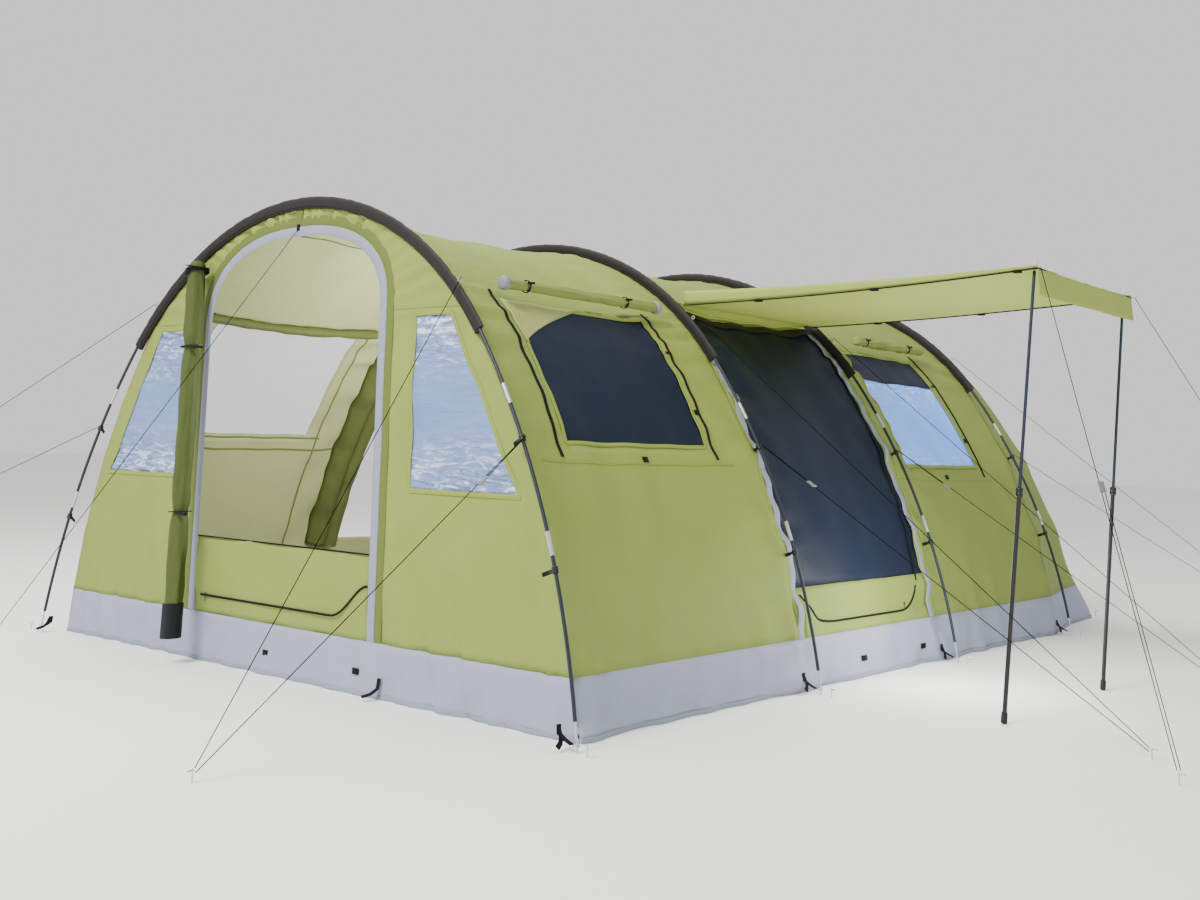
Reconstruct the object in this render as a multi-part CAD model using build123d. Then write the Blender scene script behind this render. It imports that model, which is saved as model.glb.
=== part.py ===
from build123d import *
import math
import os

# Four-hoop tunnel tent with a side-door canopy on two poles. Millimetres, +Z up.
# The tent's length runs along Y, with the front door at -Y; the canopy is on the +X side.
# The origin is on the underside of the groundsheet, below the middle of the side door and canopy.
# The sizes and positions below are measured along Y from the front hoop; write() moves them to the origin.

# ---- driving dimensions ----
HOOP_H = 2150.0            # front of the pole arch above the ground, at its middle line
R_TOP = 1680.0             # radius of the arch's crown
BREAK = 52.3               # angle from vertical where the crown meets the flatter leg
R_SIDE = 3230.0            # radius of each leg
HOOP_Y = (0.0, 1590.0, 2930.0, 4480.0)
ORIGIN_Y = 2260.0          # the origin's distance behind the front hoop
POLE_D = 15.0
SECTIONS = 10              # pole sections in one hoop
FERRULE_D = 17.5
FERRULE_L = 90.0
END_GAP = 0.3              # between a pole section and its ferrule
PIN_D = 8.0
PIN_TOP = 100.0            # height where a hoop's pole stops and its foot pin starts
SLEEVE_END = 50.7          # angle from vertical where the fabric sleeve stops
SLEEVE_H = 50.0
SLEEVE_W = 22.0

CLOTH = 2.0                # thickness that stands for the cloth
FLY_GAP = 30.0             # pole's middle line to the fly under the sleeve
FLY_GAP_FOOT = 90.0        # the same at the ground
SEAM = 38.0                # roof seam, where the canopy is sewn on
WIN_TOP = 43.0
WIN_LOW = 62.2
DOOR_LOW = 73.1
SKIRT_TOP = 77.2
SKIRT_LOW = 80.6
STATIONS = (0.0, 13.0, 26.0, SEAM, WIN_TOP, BREAK, WIN_LOW, 68.0, DOOR_LOW, SKIRT_TOP, SKIRT_LOW)

FRONT_Y = 14.0             # front wall behind the first sleeve
FRONT_LEAN = 86.0          # how far the front wall's foot stands back
FRONT_BREAK = 1600.0       # height below which the front wall leans
TAIL = 1000.0              # how far the tail's foot stands behind the last hoop
TAIL_TAPER = 0.14

DOOR_HALF = 710.0
DOOR_SPRING = 1600.0
DOOR_RISE = 435.0
DOOR_POWER = 2.4
TRIM_W = 48.0
SILL_H = 570.0
ARCH_STEPS = 8
FRONT_WIN_LOW = 845.0
FRONT_WIN_TOP = 1580.0
FRONT_WIN_IN = 900.0
FRONT_WIN_OUT_TOP = 1130.0
FRONT_WIN_OUT_LOW = 1560.0

WIN_FRONT = (270.0, 1210.0)      # side window between the first two hoops, along Y
WIN_REAR = (3120.0, 4020.0)      # side window between the last two hoops
SIDE_DOOR = (1650.0, 2870.0)
SIDE_TRIM = 45.0

CABIN = 3050.0             # front wall of the sleeping cabin
CABIN_GAP_TOP = 150.0
CABIN_GAP_FOOT = 330.0
CABIN_DOOR = 600.0
CABIN_DOOR_H = 1550.0

CANOPY_OUT = 2995.0        # outer edge of the canopy
CANOPY_Z = 1865.0
CANOPY_Y = (1640.0, 2880.0)
CANOPY_Y_OUT = (1700.0, 2850.0)
CANOPY_T = 3.0
VALANCE_H = 125.0
EYELET_IN = 28.0           # eyelet's distance from both edges of the canopy
EYELET_D = 9.0
SPIKE_D = 6.0
LEAN = (-145.0, -112.0)    # foot of a canopy pole from the point below its top
UPPER_D = 16.0
LOWER_D = 22.0
LOWER_BORE = 17.4
LOWER_L = 930.0
OVERLAP = 100.0

CORD_D = 3.5
RUNNER = (44.0, 24.0, 9.0)  # length along the cord, width, thickness
RUNNER_BORE = 4.4
STRAND_GAP = 14.0          # between the two strands at a runner

PEG_FRONT_RIGHT = (1404.0, -1133.0)
PEG_FRONT_LEFT = (-2500.0, -1600.0)
PEG_DOOR = (-645.0, -965.0)
PEG_SECOND = (3480.0, 1433.0)
PEG_THIRD = (3357.0, 2976.0)
PEG_REAR = (3198.0, 5183.0)
PEG_CANOPY_NEAR = (3677.0, 1112.0)
PEG_CANOPY_FAR = (3800.0, 3800.0)
TENT_MIDDLE = 2500.0       # Y that every peg's hook points away from

os.makedirs("parts", exist_ok=True)
CROWN_Z = HOOP_H - R_TOP
SIDE_X = (R_TOP - R_SIDE) * math.sin(math.radians(BREAK))
SIDE_Z = CROWN_Z + (R_TOP - R_SIDE) * math.cos(math.radians(BREAK))


def write(name, solids):
    """Writes the solids of one node, moved from the front hoop's place to the origin."""
    items = [s.moved(Location((0, -ORIGIN_Y, 0))) for s in solids]
    shape = items[0] if len(items) == 1 else Compound(children=items)
    export_step(shape, f"parts/{name}.step")


# ---- the hoop's line ----
def arch(angle, gap=0.0):
    """(x, z) on the right half of a hoop, at an angle from vertical, a gap inside its middle line."""
    a = math.radians(angle)
    if angle <= BREAK:
        return ((R_TOP - gap) * math.sin(a), CROWN_Z + (R_TOP - gap) * math.cos(a))
    return (SIDE_X + (R_SIDE - gap) * math.sin(a), SIDE_Z + (R_SIDE - gap) * math.cos(a))


def angle_at(z, gap=0.0):
    """Angle from vertical of the point at a height."""
    if z >= arch(BREAK, gap)[1]:
        return math.degrees(math.acos(min(1.0, (z - CROWN_Z) / (R_TOP - gap))))
    return math.degrees(math.acos((z - SIDE_Z) / (R_SIDE - gap)))


def fly_gap(angle):
    """Distance of the fly inside the poles, which grows below the sleeves."""
    foot = angle_at(0.0)
    if angle <= SLEEVE_END:
        return FLY_GAP
    return FLY_GAP + (FLY_GAP_FOOT - FLY_GAP) * (angle - SLEEVE_END) / (foot - SLEEVE_END)


def cabin_gap(angle):
    """Distance of the cabin inside the poles."""
    return CABIN_GAP_TOP + (CABIN_GAP_FOOT - CABIN_GAP_TOP) * angle / angle_at(0.0)


def fly(angle, depth=0.0):
    """(x, z) of the fly's face, or of a point a depth under it."""
    return arch(angle, fly_gap(angle) + depth)


def fly_x(z):
    """Half width of the fly at a height."""
    low, high = 0.0, 89.0
    for _ in range(50):
        mid = (low + high) / 2
        if fly(mid)[1] > z:
            low = mid
        else:
            high = mid
    return fly(low)[0]


# ---- building blocks ----
def cell(side, a0, a1, front, back, line=fly):
    """A flat cloth panel between two angles; front and back give Y at a point (x, z)."""
    points = []
    for angle in (a0, a1):
        for depth in (0.0, CLOTH):
            x, z = line(angle, depth)
            points.append((side * x, front(z), z))
            points.append((side * x, back(z), z))
    return ConvexPolyhedron(points)


def flat(value):
    """The same Y at every height."""
    return lambda z: value


def wall_y(z):
    """Y of the front wall's face, which leans back below its break."""
    return FRONT_Y + max(0.0, FRONT_BREAK - z) / FRONT_BREAK * FRONT_LEAN


def plate(outline, face=wall_y, thick=CLOTH):
    """A flat panel in the front wall from its (x, z) corners."""
    points = []
    for x, z in outline:
        points.append((x, face(z), z))
        points.append((x, face(z) + thick, z))
    return ConvexPolyhedron(points)


def rod(start, end, diameter, bore=0.0):
    """A round bar between two points, with a hole through it when bore is given."""
    a, b = Vector(*start), Vector(*end)
    plane = Plane(origin=a, z_dir=b - a)
    length = (b - a).length
    body = Solid.make_cylinder(diameter / 2, length, plane)
    if bore:
        body -= Solid.make_cylinder(bore / 2, length, plane)
    return body


def chain(points, diameter):
    """A round bar along several points, with a ball at each corner."""
    body = rod(points[0], points[1], diameter)
    for i in range(1, len(points) - 1):
        body += Pos(*points[i]) * Sphere(diameter / 2)
        body += rod(points[i], points[i + 1], diameter)
    return body.solid() if hasattr(body, "solid") else body


def bent(side, a0, a1, y, diameter):
    """A round bar along the hoop's arc between two angles on one radius."""
    mid = (a0 + a1) / 2
    p0, p1, p2 = (Vector(side * arch(a)[0], y, arch(a)[1]) for a in (a0, mid, a1))
    path = Edge.make_three_point_arc(p0, p1, p2)
    section = Plane(origin=p0, z_dir=path.tangent_at(0)) * Circle(diameter / 2)
    return sweep(section, path).solid()


def arc_length(angle):
    """Length of the hoop's line from its crown to an angle."""
    top = R_TOP * math.radians(min(angle, BREAK))
    return top + R_SIDE * math.radians(max(0.0, angle - BREAK))


def angle_of(length):
    """Angle at a length along the hoop's line from its crown."""
    crown = R_TOP * math.radians(BREAK)
    if length <= crown:
        return math.degrees(length / R_TOP)
    return BREAK + math.degrees((length - crown) / R_SIDE)


# ---- hoops, ferrules and foot pins ----
half_length = arc_length(angle_at(PIN_TOP))
section_l = 2 * half_length / SECTIONS
joints_at = [section_l * i for i in range(SECTIONS // 2)]
hoop_names = ("front", "second", "third", "rear")
ferrules = []
pins = []
for name, y in zip(hoop_names, HOOP_Y):
    pieces = []
    for side in (1, -1):
        for i, start in enumerate(joints_at):
            a0 = angle_of(start + FERRULE_L / 2 + END_GAP)
            last = i == len(joints_at) - 1
            a1 = angle_of(half_length if last else joints_at[i + 1] - FERRULE_L / 2 - END_GAP)
            cuts = [a0, a1]
            if a0 < BREAK < a1:
                cuts = [a0, BREAK, a1]
            for c0, c1 in zip(cuts, cuts[1:]):
                pieces.append(bent(side, c0, c1, y, POLE_D))
            if start:
                ends = [arch(angle_of(start + s * FERRULE_L / 2)) for s in (-1, 1)]
                ferrules.append(rod((side * ends[0][0], y, ends[0][1]),
                                    (side * ends[1][0], y, ends[1][1]), FERRULE_D))
        top, foot = arch(angle_at(PIN_TOP)), arch(angle_at(0.0))
        pins.append(rod((side * top[0], y, top[1]), (side * foot[0], y, PIN_D / 4), PIN_D))
    x, z = arch(angle_of(FERRULE_L / 2))
    ferrules.append(rod((-x, y, z), (x, y, z), FERRULE_D))
    write(f"hoop_{name}", pieces)
write("hoop_ferrules", ferrules)
write("foot_pins", pins)

# ---- sleeves: a flat tube of cloth round each hoop, in short straight lengths ----
sleeves = []
steps = 14
for y in HOOP_Y:
    outer, inner = [], []
    for i in range(steps + 1):
        a = SLEEVE_END * (2 * i / steps - 1)
        for gap, ring in ((-SLEEVE_H / 2, outer), (SLEEVE_H / 2, inner)):
            x, z = arch(abs(a), gap)
            ring.append((math.copysign(x, a), z))
    bar = None
    for i in range(steps):
        quad = [outer[i], outer[i + 1], inner[i + 1], inner[i]]
        for cheek in (-1, 1):
            low = y + cheek * (FERRULE_D / 2 + 0.25)
            high = y + cheek * SLEEVE_W / 2
            sleeves.append(ConvexPolyhedron([(x, v, z) for x, z in quad for v in (low, high)]))
write("pole_sleeves", sleeves)


# ---- fly: the bays between the hoops ----
def bay(y0, y1, front=None, window=None, door=None):
    """Cloth, window and door panels of one bay, both sides."""
    cloth, windows, doors, trims, sills, skirt = [], [], [], [], [], []
    start = front or flat(y0)
    for side in (1, -1):
        for a0, a1 in zip(STATIONS, STATIONS[1:]):
            if a0 >= SKIRT_TOP:
                skirt.append(cell(side, a0, a1, start, flat(y1)))
            elif window and WIN_TOP <= a0 < WIN_LOW:
                cloth.append(cell(side, a0, a1, start, flat(window[0])))
                windows.append(cell(side, a0, a1, flat(window[0]), flat(window[1])))
                cloth.append(cell(side, a0, a1, flat(window[1]), flat(y1)))
            elif door and a0 >= SEAM:
                cuts = (y0, door[0] - SIDE_TRIM, door[0], door[1], door[1] + SIDE_TRIM, y1)
                cloth.append(cell(side, a0, a1, flat(cuts[0]), flat(cuts[1])))
                trims.append(cell(side, a0, a1, flat(cuts[1]), flat(cuts[2])))
                if a0 >= DOOR_LOW:
                    sills.append(cell(side, a0, a1, flat(cuts[2]), flat(cuts[3])))
                elif side > 0:
                    doors.append(cell(side, a0, a1, flat(cuts[2]), flat(cuts[3])))
                trims.append(cell(side, a0, a1, flat(cuts[3]), flat(cuts[4])))
                cloth.append(cell(side, a0, a1, flat(cuts[4]), flat(cuts[5])))
            else:
                cloth.append(cell(side, a0, a1, start, flat(y1)))
    return cloth, windows, doors, trims, sills, skirt


front_edge = lambda z: wall_y(z) + CLOTH + 0.5
front_bay = bay(0.0, HOOP_Y[1], front_edge, window=WIN_FRONT)
middle_bay = bay(HOOP_Y[1], HOOP_Y[2], door=SIDE_DOOR)
rear_bay = bay(HOOP_Y[2], HOOP_Y[3], window=WIN_REAR)
write("fly_front_bay", front_bay[0])
write("fly_middle_bay", middle_bay[0])
write("fly_rear_bay", rear_bay[0])
write("side_windows", front_bay[1] + rear_bay[1])
write("side_door_mesh", middle_bay[2])
write("side_door_trim", middle_bay[3])
write("side_door_sills", middle_bay[4])
skirt = front_bay[5] + middle_bay[5] + rear_bay[5]


# ---- tail: side strips that narrow towards a leaning rear panel ----
def tail_y(z):
    """Y of the rear panel at a height."""
    return HOOP_Y[3] + 20.0 + (fly(0.0)[1] - z) / fly(0.0)[1] * TAIL


def tail_x(x, z):
    """Half width of the tail where it meets the rear panel."""
    return x * (1.0 - TAIL_TAPER * (fly(0.0)[1] - z) / fly(0.0)[1])


tail = []
for a0, a1 in zip(STATIONS, STATIONS[1:]):
    strips = skirt if a0 >= SKIRT_TOP else tail
    for side in (1, -1):
        points = []
        for angle in (a0, a1):
            face = fly(angle)
            for depth in (0.0, CLOTH):
                x, z = fly(angle, depth)
                points.append((side * x, HOOP_Y[3], z))
                points.append((side * (tail_x(*face) + x - face[0]), tail_y(face[1]), z))
        strips.append(ConvexPolyhedron(points))
    panel = []
    for angle in (a0, a1):
        x, z = fly(angle)
        for sx in (-1, 1):
            panel.append((sx * tail_x(x, z), tail_y(z) + 0.5, z))
            panel.append((sx * tail_x(x, z), tail_y(z) + 0.5 + CLOTH, z))
    strips.append(ConvexPolyhedron(panel))
write("fly_tail", tail)

# ---- front wall: cloth round the door arch and the two clear windows ----
def door_arch(step, inset=0.0):
    """(x, z) on the right half of the door's arch; step 0 is its springing, the last its crown."""
    t = math.radians(90.0 * step / ARCH_STEPS)
    x = (DOOR_HALF - inset) * math.cos(t) ** (2 / DOOR_POWER)
    z = DOOR_SPRING + (DOOR_RISE - inset) * math.sin(t) ** (2 / DOOR_POWER)
    return (x, z)


def window_out(z):
    """The slanting outer edge of a front window."""
    share = (FRONT_WIN_TOP - z) / (FRONT_WIN_TOP - FRONT_WIN_LOW)
    return FRONT_WIN_OUT_TOP + share * (FRONT_WIN_OUT_LOW - FRONT_WIN_OUT_TOP)


wall, door_trim, front_windows = [], [], []
skirt_top = fly(SKIRT_TOP)[1]
skirt_low = fly(SKIRT_LOW)[1]
for side in (1, -1):
    spring_angle = angle_at(DOOR_SPRING, FLY_GAP)
    for i in range(ARCH_STEPS):
        rim = [fly(spring_angle * (1 - j / ARCH_STEPS)) for j in (i, i + 1)]
        quad = [door_arch(i), door_arch(i + 1), rim[1], rim[0]]
        wall.append(plate([(side * x, z) for x, z in quad]))
        band = [door_arch(i), door_arch(i + 1), door_arch(i + 1, TRIM_W), door_arch(i, TRIM_W)]
        door_trim.append(plate([(side * x, z) for x, z in band]))
    levels = (DOOR_SPRING, FRONT_WIN_TOP, 1330.0, 1080.0, FRONT_WIN_LOW, 545.0, skirt_top)
    for top, low in zip(levels, levels[1:]):
        beside = FRONT_WIN_LOW <= low < FRONT_WIN_TOP
        inner = [(window_out(z) if beside else DOOR_HALF, z) for z in (top, low)]
        quad = [inner[0], (fly_x(top), top), (fly_x(low), low), inner[1]]
        wall.append(plate([(side * x, z) for x, z in quad]))
    strip = [(DOOR_HALF, FRONT_WIN_TOP), (FRONT_WIN_IN, FRONT_WIN_TOP),
             (FRONT_WIN_IN, FRONT_WIN_LOW), (DOOR_HALF, FRONT_WIN_LOW)]
    wall.append(plate([(side * x, z) for x, z in strip]))
    pane = [(FRONT_WIN_IN, FRONT_WIN_TOP), (FRONT_WIN_OUT_TOP, FRONT_WIN_TOP),
            (FRONT_WIN_OUT_LOW, FRONT_WIN_LOW), (FRONT_WIN_IN, FRONT_WIN_LOW)]
    front_windows.append(plate([(side * x, z) for x, z in pane]))
    post = [(DOOR_HALF, DOOR_SPRING), (DOOR_HALF - TRIM_W, DOOR_SPRING),
            (DOOR_HALF - TRIM_W, skirt_top), (DOOR_HALF, skirt_top)]
    door_trim.append(plate([(side * x, z) for x, z in post]))
write("front_wall", wall)
write("front_door_trim", door_trim)
write("front_windows", front_windows)
inner_half = DOOR_HALF - TRIM_W
write("front_door_sill", [plate([(-inner_half, SILL_H), (inner_half, SILL_H),
                                 (inner_half, skirt_top), (-inner_half, skirt_top)])])
skirt.append(plate([(-fly_x(skirt_top), skirt_top), (fly_x(skirt_top), skirt_top),
                    (fly_x(skirt_low), skirt_low), (-fly_x(skirt_low), skirt_low)]))
write("mud_skirt", skirt)

# ---- floor and sleeping cabin ----
floor_half = fly_x(skirt_low) - 25.0
floor_tail = tail_x(floor_half, skirt_low) - 10.0
floor = [(-floor_half, 110.0), (floor_half, 110.0), (floor_half, HOOP_Y[3]),
         (floor_tail, tail_y(skirt_low) - 30.0), (-floor_tail, tail_y(skirt_low) - 30.0),
         (-floor_half, HOOP_Y[3])]
write("groundsheet", [ConvexPolyhedron([(x, y, z) for x, y in floor for z in (0.0, 3.0)])])


def cabin(angle, depth=0.0):
    """(x, z) of the cabin's face."""
    return arch(angle, cabin_gap(angle) + depth)


cabin_back = lambda z: tail_y(z) - 160.0
walls = []
cabin_stations = (0.0, 20.0, 38.0, BREAK, 62.2, 71.0, 80.0)
for a0, a1 in zip(cabin_stations, cabin_stations[1:]):
    for side in (1, -1):
        walls.append(cell(side, a0, a1, flat(CABIN + CLOTH + 0.5), cabin_back, cabin))
    corners = [cabin(a) for a in (a0, a1)]
    walls.append(ConvexPolyhedron([(sx * x, cabin_back(z) + d, z) for x, z in corners
                                   for sx in (-1, 1) for d in (0.5, 0.5 + CLOTH)]))
for a0, a1 in zip(cabin_stations, cabin_stations[1:]):
    (x0, z0), (x1, z1) = cabin(a0), cabin(a1)
    if z1 >= CABIN_DOOR_H:
        walls.append(plate([(-x0, z0), (x0, z0), (x1, z1), (-x1, z1)], flat(CABIN)))
    else:
        for side in (1, -1):
            corners = [(CABIN_DOOR, z0), (x0, z0), (x1, z1), (CABIN_DOOR, z1)]
            walls.append(plate([(side * x, z) for x, z in corners], flat(CABIN)))
write("cabin_walls", walls)
bed_half = cabin(80.0)[0] - 20.0
bed = [(sx * bed_half, y) for y in (CABIN + 10.0, cabin_back(60.0) - 20.0) for sx in (-1, 1)]
write("cabin_floor", [ConvexPolyhedron([(x, y, z) for x, y in bed for z in (4.0, 8.0)])])

# ---- rolled left side door, tied up inside the second hoop ----
roll = []
for angle in (SEAM + 2, 46.0, 54.0, 63.0, DOOR_LOW - 2):
    x, z = arch(angle, fly_gap(angle) + 62.0)
    roll.append((-x, HOOP_Y[1] + 62.0, z))
write("left_door_roll", [chain(roll, 90.0)])

# ---- clips on webbing tabs, foot straps, guy rings, pegs ----
clips, straps, rings, pegs = [], [], [], []
CLIP_Z = (1070.0, 600.0)
for y in HOOP_Y:
    for side in (1, -1):
        for height in CLIP_Z:
            a = angle_at(height)
            (x0, z0), (x1, z1) = arch(a - 0.2), arch(a + 0.2)
            clips.append(rod((side * x0, y, z0), (side * x1, y, z1), 27.0, POLE_D + 0.6))
            tab = [(side * p[0], y + v, p[1]) for b in (a - 0.2, a + 0.2)
                   for p in (arch(b, 14.0), arch(b, fly_gap(b) - 1.0)) for v in (-1.5, 1.5)]
            clips.append(ConvexPolyhedron(tab))
        foot_x = arch(angle_at(30.0))[0]
        hem_x, hem_z = fly(SKIRT_LOW)
        strap = [(side * x, y + v, z + t) for x, z in ((hem_x + 2.0, hem_z), (foot_x - 15.5, 22.0))
                 for v in (-12.5, 12.5) for t in (0.0, 2.0)]
        straps.append(ConvexPolyhedron(strap))
        straps.append(rod((side * foot_x, y, 16.0), (side * foot_x, y, 28.0), 30.0, PIN_D + 10.0))
        peg_x = foot_x + 70.0
        pegs.append((side * peg_x, y - 20.0))
        a = SLEEVE_END - 7.0
        x, z = arch(a, -SLEEVE_H / 2 - 9.0)
        rings.append(rod((side * x, y - 1.5, z), (side * x, y + 1.5, z), 20.0, 12.0))
pegs += [(side * 1690.0, tail_y(0.0) + 110.0) for side in (1, -1)]
guy_pegs = [PEG_FRONT_RIGHT, PEG_FRONT_LEFT, PEG_DOOR, PEG_SECOND, PEG_THIRD, PEG_REAR,
            PEG_CANOPY_NEAR, PEG_CANOPY_FAR]
peg_solids = []
for x, y in pegs + guy_pegs:
    shank = rod((x, y, 0.0), (x, y, 38.0), 6.0)
    peg_solids.append(shank)
    out = Vector(x, y - TENT_MIDDLE, 0).normalized()
    peg_solids.append(rod((x + 3.1 * out.X, y + 3.1 * out.Y, 35.0),
                          (x + 26.0 * out.X, y + 26.0 * out.Y, 35.0), 6.0))
write("pole_clips", clips)
write("foot_straps", straps)
write("guy_rings", rings)
write("pegs", peg_solids)

# ---- canopy over the right side door ----
hinge = arch(SEAM, FLY_GAP - 18.0)
sheet = []
for x, z, ys in ((hinge[0] + 4.0, hinge[1], CANOPY_Y), (CANOPY_OUT, CANOPY_Z, CANOPY_Y_OUT)):
    for y in ys:
        for t in (-CANOPY_T / 2, CANOPY_T / 2):
            sheet.append((x, y, z + t))
panel = ConvexPolyhedron(sheet)
slope = (CANOPY_Z - hinge[1]) / (CANOPY_OUT - hinge[0] - 4.0)
tops = []
for y in (CANOPY_Y_OUT[0] + EYELET_IN, CANOPY_Y_OUT[1] - EYELET_IN):
    x = CANOPY_OUT - EYELET_IN
    tops.append((x, y, CANOPY_Z - slope * EYELET_IN))
for x, y, z in tops:
    panel -= rod((x, y, z - 20.0), (x, y, z + 20.0), EYELET_D)
write("canopy_panel", [panel.solid()])
edge = CANOPY_OUT + 1.0
drop = [(edge + t, y, CANOPY_Z + s) for t in (0.0, CLOTH) for y in CANOPY_Y_OUT
        for s in (CANOPY_T / 2, -VALANCE_H)]
write("canopy_valance", [ConvexPolyhedron(drop)])


def along(start, end, share):
    """The point at a share of the way."""
    return tuple(a + (b - a) * share for a, b in zip(start, end))


for name, top in zip(("near", "far"), tops):
    foot = (top[0] + LEAN[0], top[1] + LEAN[1], 0.0)
    length = math.dist(top, foot)
    at = lambda mm: along(top, foot, mm / length)
    upper = rod(at(10.0), at(length - LOWER_L + OVERLAP), UPPER_D)
    upper += rod(at(-14.0), at(10.5), SPIKE_D)
    write(f"canopy_pole_upper_{name}", [upper.solid()])
    shoe = 30.0 + LOWER_D / 2 * math.hypot(*LEAN) / length
    tube = rod(at(length - LOWER_L), at(length - shoe), LOWER_D, LOWER_BORE)
    collar = rod(at(length - LOWER_L - 6.0), at(length - LOWER_L + 34.0), 31.0, LOWER_D + 0.02)
    rubber = rod(at(length - shoe), at(length - 2.0), 27.0) & Box(9000, 9000, 9000,
                 align=(Align.CENTER, Align.CENTER, Align.MIN))
    write(f"canopy_pole_lower_{name}", [tube, collar, rubber.solid()])
    print("pole", name, "top", [round(v, 2) for v in top], "foot", [round(v, 2) for v in foot])

# ---- rolled front door, window covers and zip sliders ----
write("front_door_roll", [rod((-725.0, -64.0, 1905.0), (-575.0, -68.0, 112.0), 104.0)])
cover_angle = SEAM + 3.5
cover_x, cover_z = arch(cover_angle, FLY_GAP - 42.0)
for side, label in ((1, "right"), (-1, "left")):
    for place, (y0, y1) in (("front", (300.0, 1380.0)), ("rear", (3300.0, 4160.0))):
        roll = rod((side * cover_x, y0, cover_z), (side * cover_x, y1, cover_z), 72.0)
        write(f"window_cover_{label}_{place}", [roll])
slider_z = 305.0
face = wall_y(slider_z)
write("front_door_slider", [Pos(-560.0, face - 6.0, slider_z - 14.0) * Box(12.0, 7.0, 42.0)])
side_x = fly_x(300.0)
write("side_door_slider", [Pos(side_x + 12.0, 2590.0, 296.0) * Box(7.0, 12.0, 42.0)])


# ---- guy lines: each is one cord, straight where it is tight ----
def ring_point(hoop, side=1):
    """The ring on a sleeve that a high guy starts from."""
    x, z = arch(SLEEVE_END - 7.0, -SLEEVE_H / 2 - 25.0)
    return (side * x, HOOP_Y[hoop], z)


def clip_point(hoop, side=1):
    """The ring on a clip that a low guy starts from."""
    x, z = arch(angle_at(CLIP_Z[0]), -18.0)
    return (side * x, HOOP_Y[hoop], z)


def peg_point(peg, height=30.0):
    """Where a cord is looped over a peg."""
    return (peg[0], peg[1], height)


def short(start, end, cut):
    """The end point moved back along the line by a cut."""
    return along(start, end, 1 - cut / math.dist(start, end))


HIGH = (("guy_front_right_high", 0, 1, PEG_FRONT_RIGHT), ("guy_front_left_high", 0, -1, PEG_FRONT_LEFT),
        ("guy_second_high", 1, 1, PEG_SECOND), ("guy_third_high", 2, 1, PEG_THIRD),
        ("guy_rear_high", 3, 1, PEG_REAR))
for name, hoop, side, peg in HIGH:
    start = ring_point(hoop, side)
    write(name, [rod(start, short(start, peg_point(peg), 12.0), CORD_D)])

LOW = (("front_right", 0, 1, PEG_FRONT_RIGHT, 0.16), ("front_left", 0, -1, PEG_FRONT_LEFT, 0.23),
       ("second", 1, 1, PEG_SECOND, 0.16), ("third", 2, 1, PEG_THIRD, 0.17),
       ("rear", 3, 1, PEG_REAR, 0.12))


def runner_block(start, end, share, side=1):
    """A plate with a hole along the cord, and the plane through its middle."""
    mid = Vector(*along(start, end, share))
    line = (Vector(*end) - Vector(*start)).normalized()
    across = line.cross(Vector(0, 0, 1))
    if across.X * side < 0:
        across = -across
    plane = Plane(origin=mid, x_dir=across, z_dir=line)
    block = plane * Pos(STRAND_GAP / 2, 0, 0) * Box(RUNNER[1] + STRAND_GAP / 2, RUNNER[2], RUNNER[0])
    block -= plane * Cylinder(RUNNER_BORE / 2, RUNNER[0] + 1)
    return block.solid(), plane


for name, hoop, side, peg, share in LOW:
    start = clip_point(hoop, side)
    end = short(start, peg_point(peg, 18.0), 12.0)
    block, plane = runner_block(start, end, share, side)
    write(f"runner_{name}", [block])
    back = (plane * Pos(STRAND_GAP, 0, -RUNNER[0] / 2 - 3.0)).position
    turn = (plane * Pos(STRAND_GAP, 0, 0)).position
    tip = tuple(Vector(*start) + (turn - plane.origin) * 0.4)
    write(f"guy_{name}_low", [chain([end, start, tip, tuple(back)], CORD_D)])
    print("runner", name, [round(v, 1) for v in plane.origin], [round(v, 4) for v in plane.z_dir])

door_ring = (0.0, FRONT_Y - 6.0, door_arch(ARCH_STEPS)[1] - 14.0)
write("guy_door_top", [rod(door_ring, short(door_ring, peg_point(PEG_DOOR), 12.0), CORD_D)])

start = (CANOPY_OUT + 16.0, CANOPY_Y_OUT[0] - 9.0, CANOPY_Z - 2.0)
end = short(start, peg_point(PEG_CANOPY_NEAR, 22.0), 22.0)
block, plane = runner_block(start, end, 0.5)
write("runner_canopy", [block])
print("runner canopy", [round(v, 1) for v in plane.origin], [round(v, 4) for v in plane.z_dir])
back = (plane * Pos(STRAND_GAP, 0, RUNNER[0] / 2 + 3.0)).position
turn = tuple(Vector(*end) + plane.x_dir * STRAND_GAP)
write("guy_canopy_near", [rod(start, end, CORD_D), rod(turn, tuple(back), CORD_D)])
start = (CANOPY_OUT + 16.0, CANOPY_Y_OUT[1] + 9.0, CANOPY_Z - 2.0)
write("guy_canopy_far", [rod(start, short(start, peg_point(PEG_CANOPY_FAR), 12.0), CORD_D)])
print("hinge", [round(v, 2) for v in hinge])
print("ring", [round(v, 1) for v in ring_point(0)], "clip", [round(v, 1) for v in clip_point(0)])
print("cover", round(cover_x, 1), round(cover_z, 1), "side slider x", round(side_x, 1))
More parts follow.
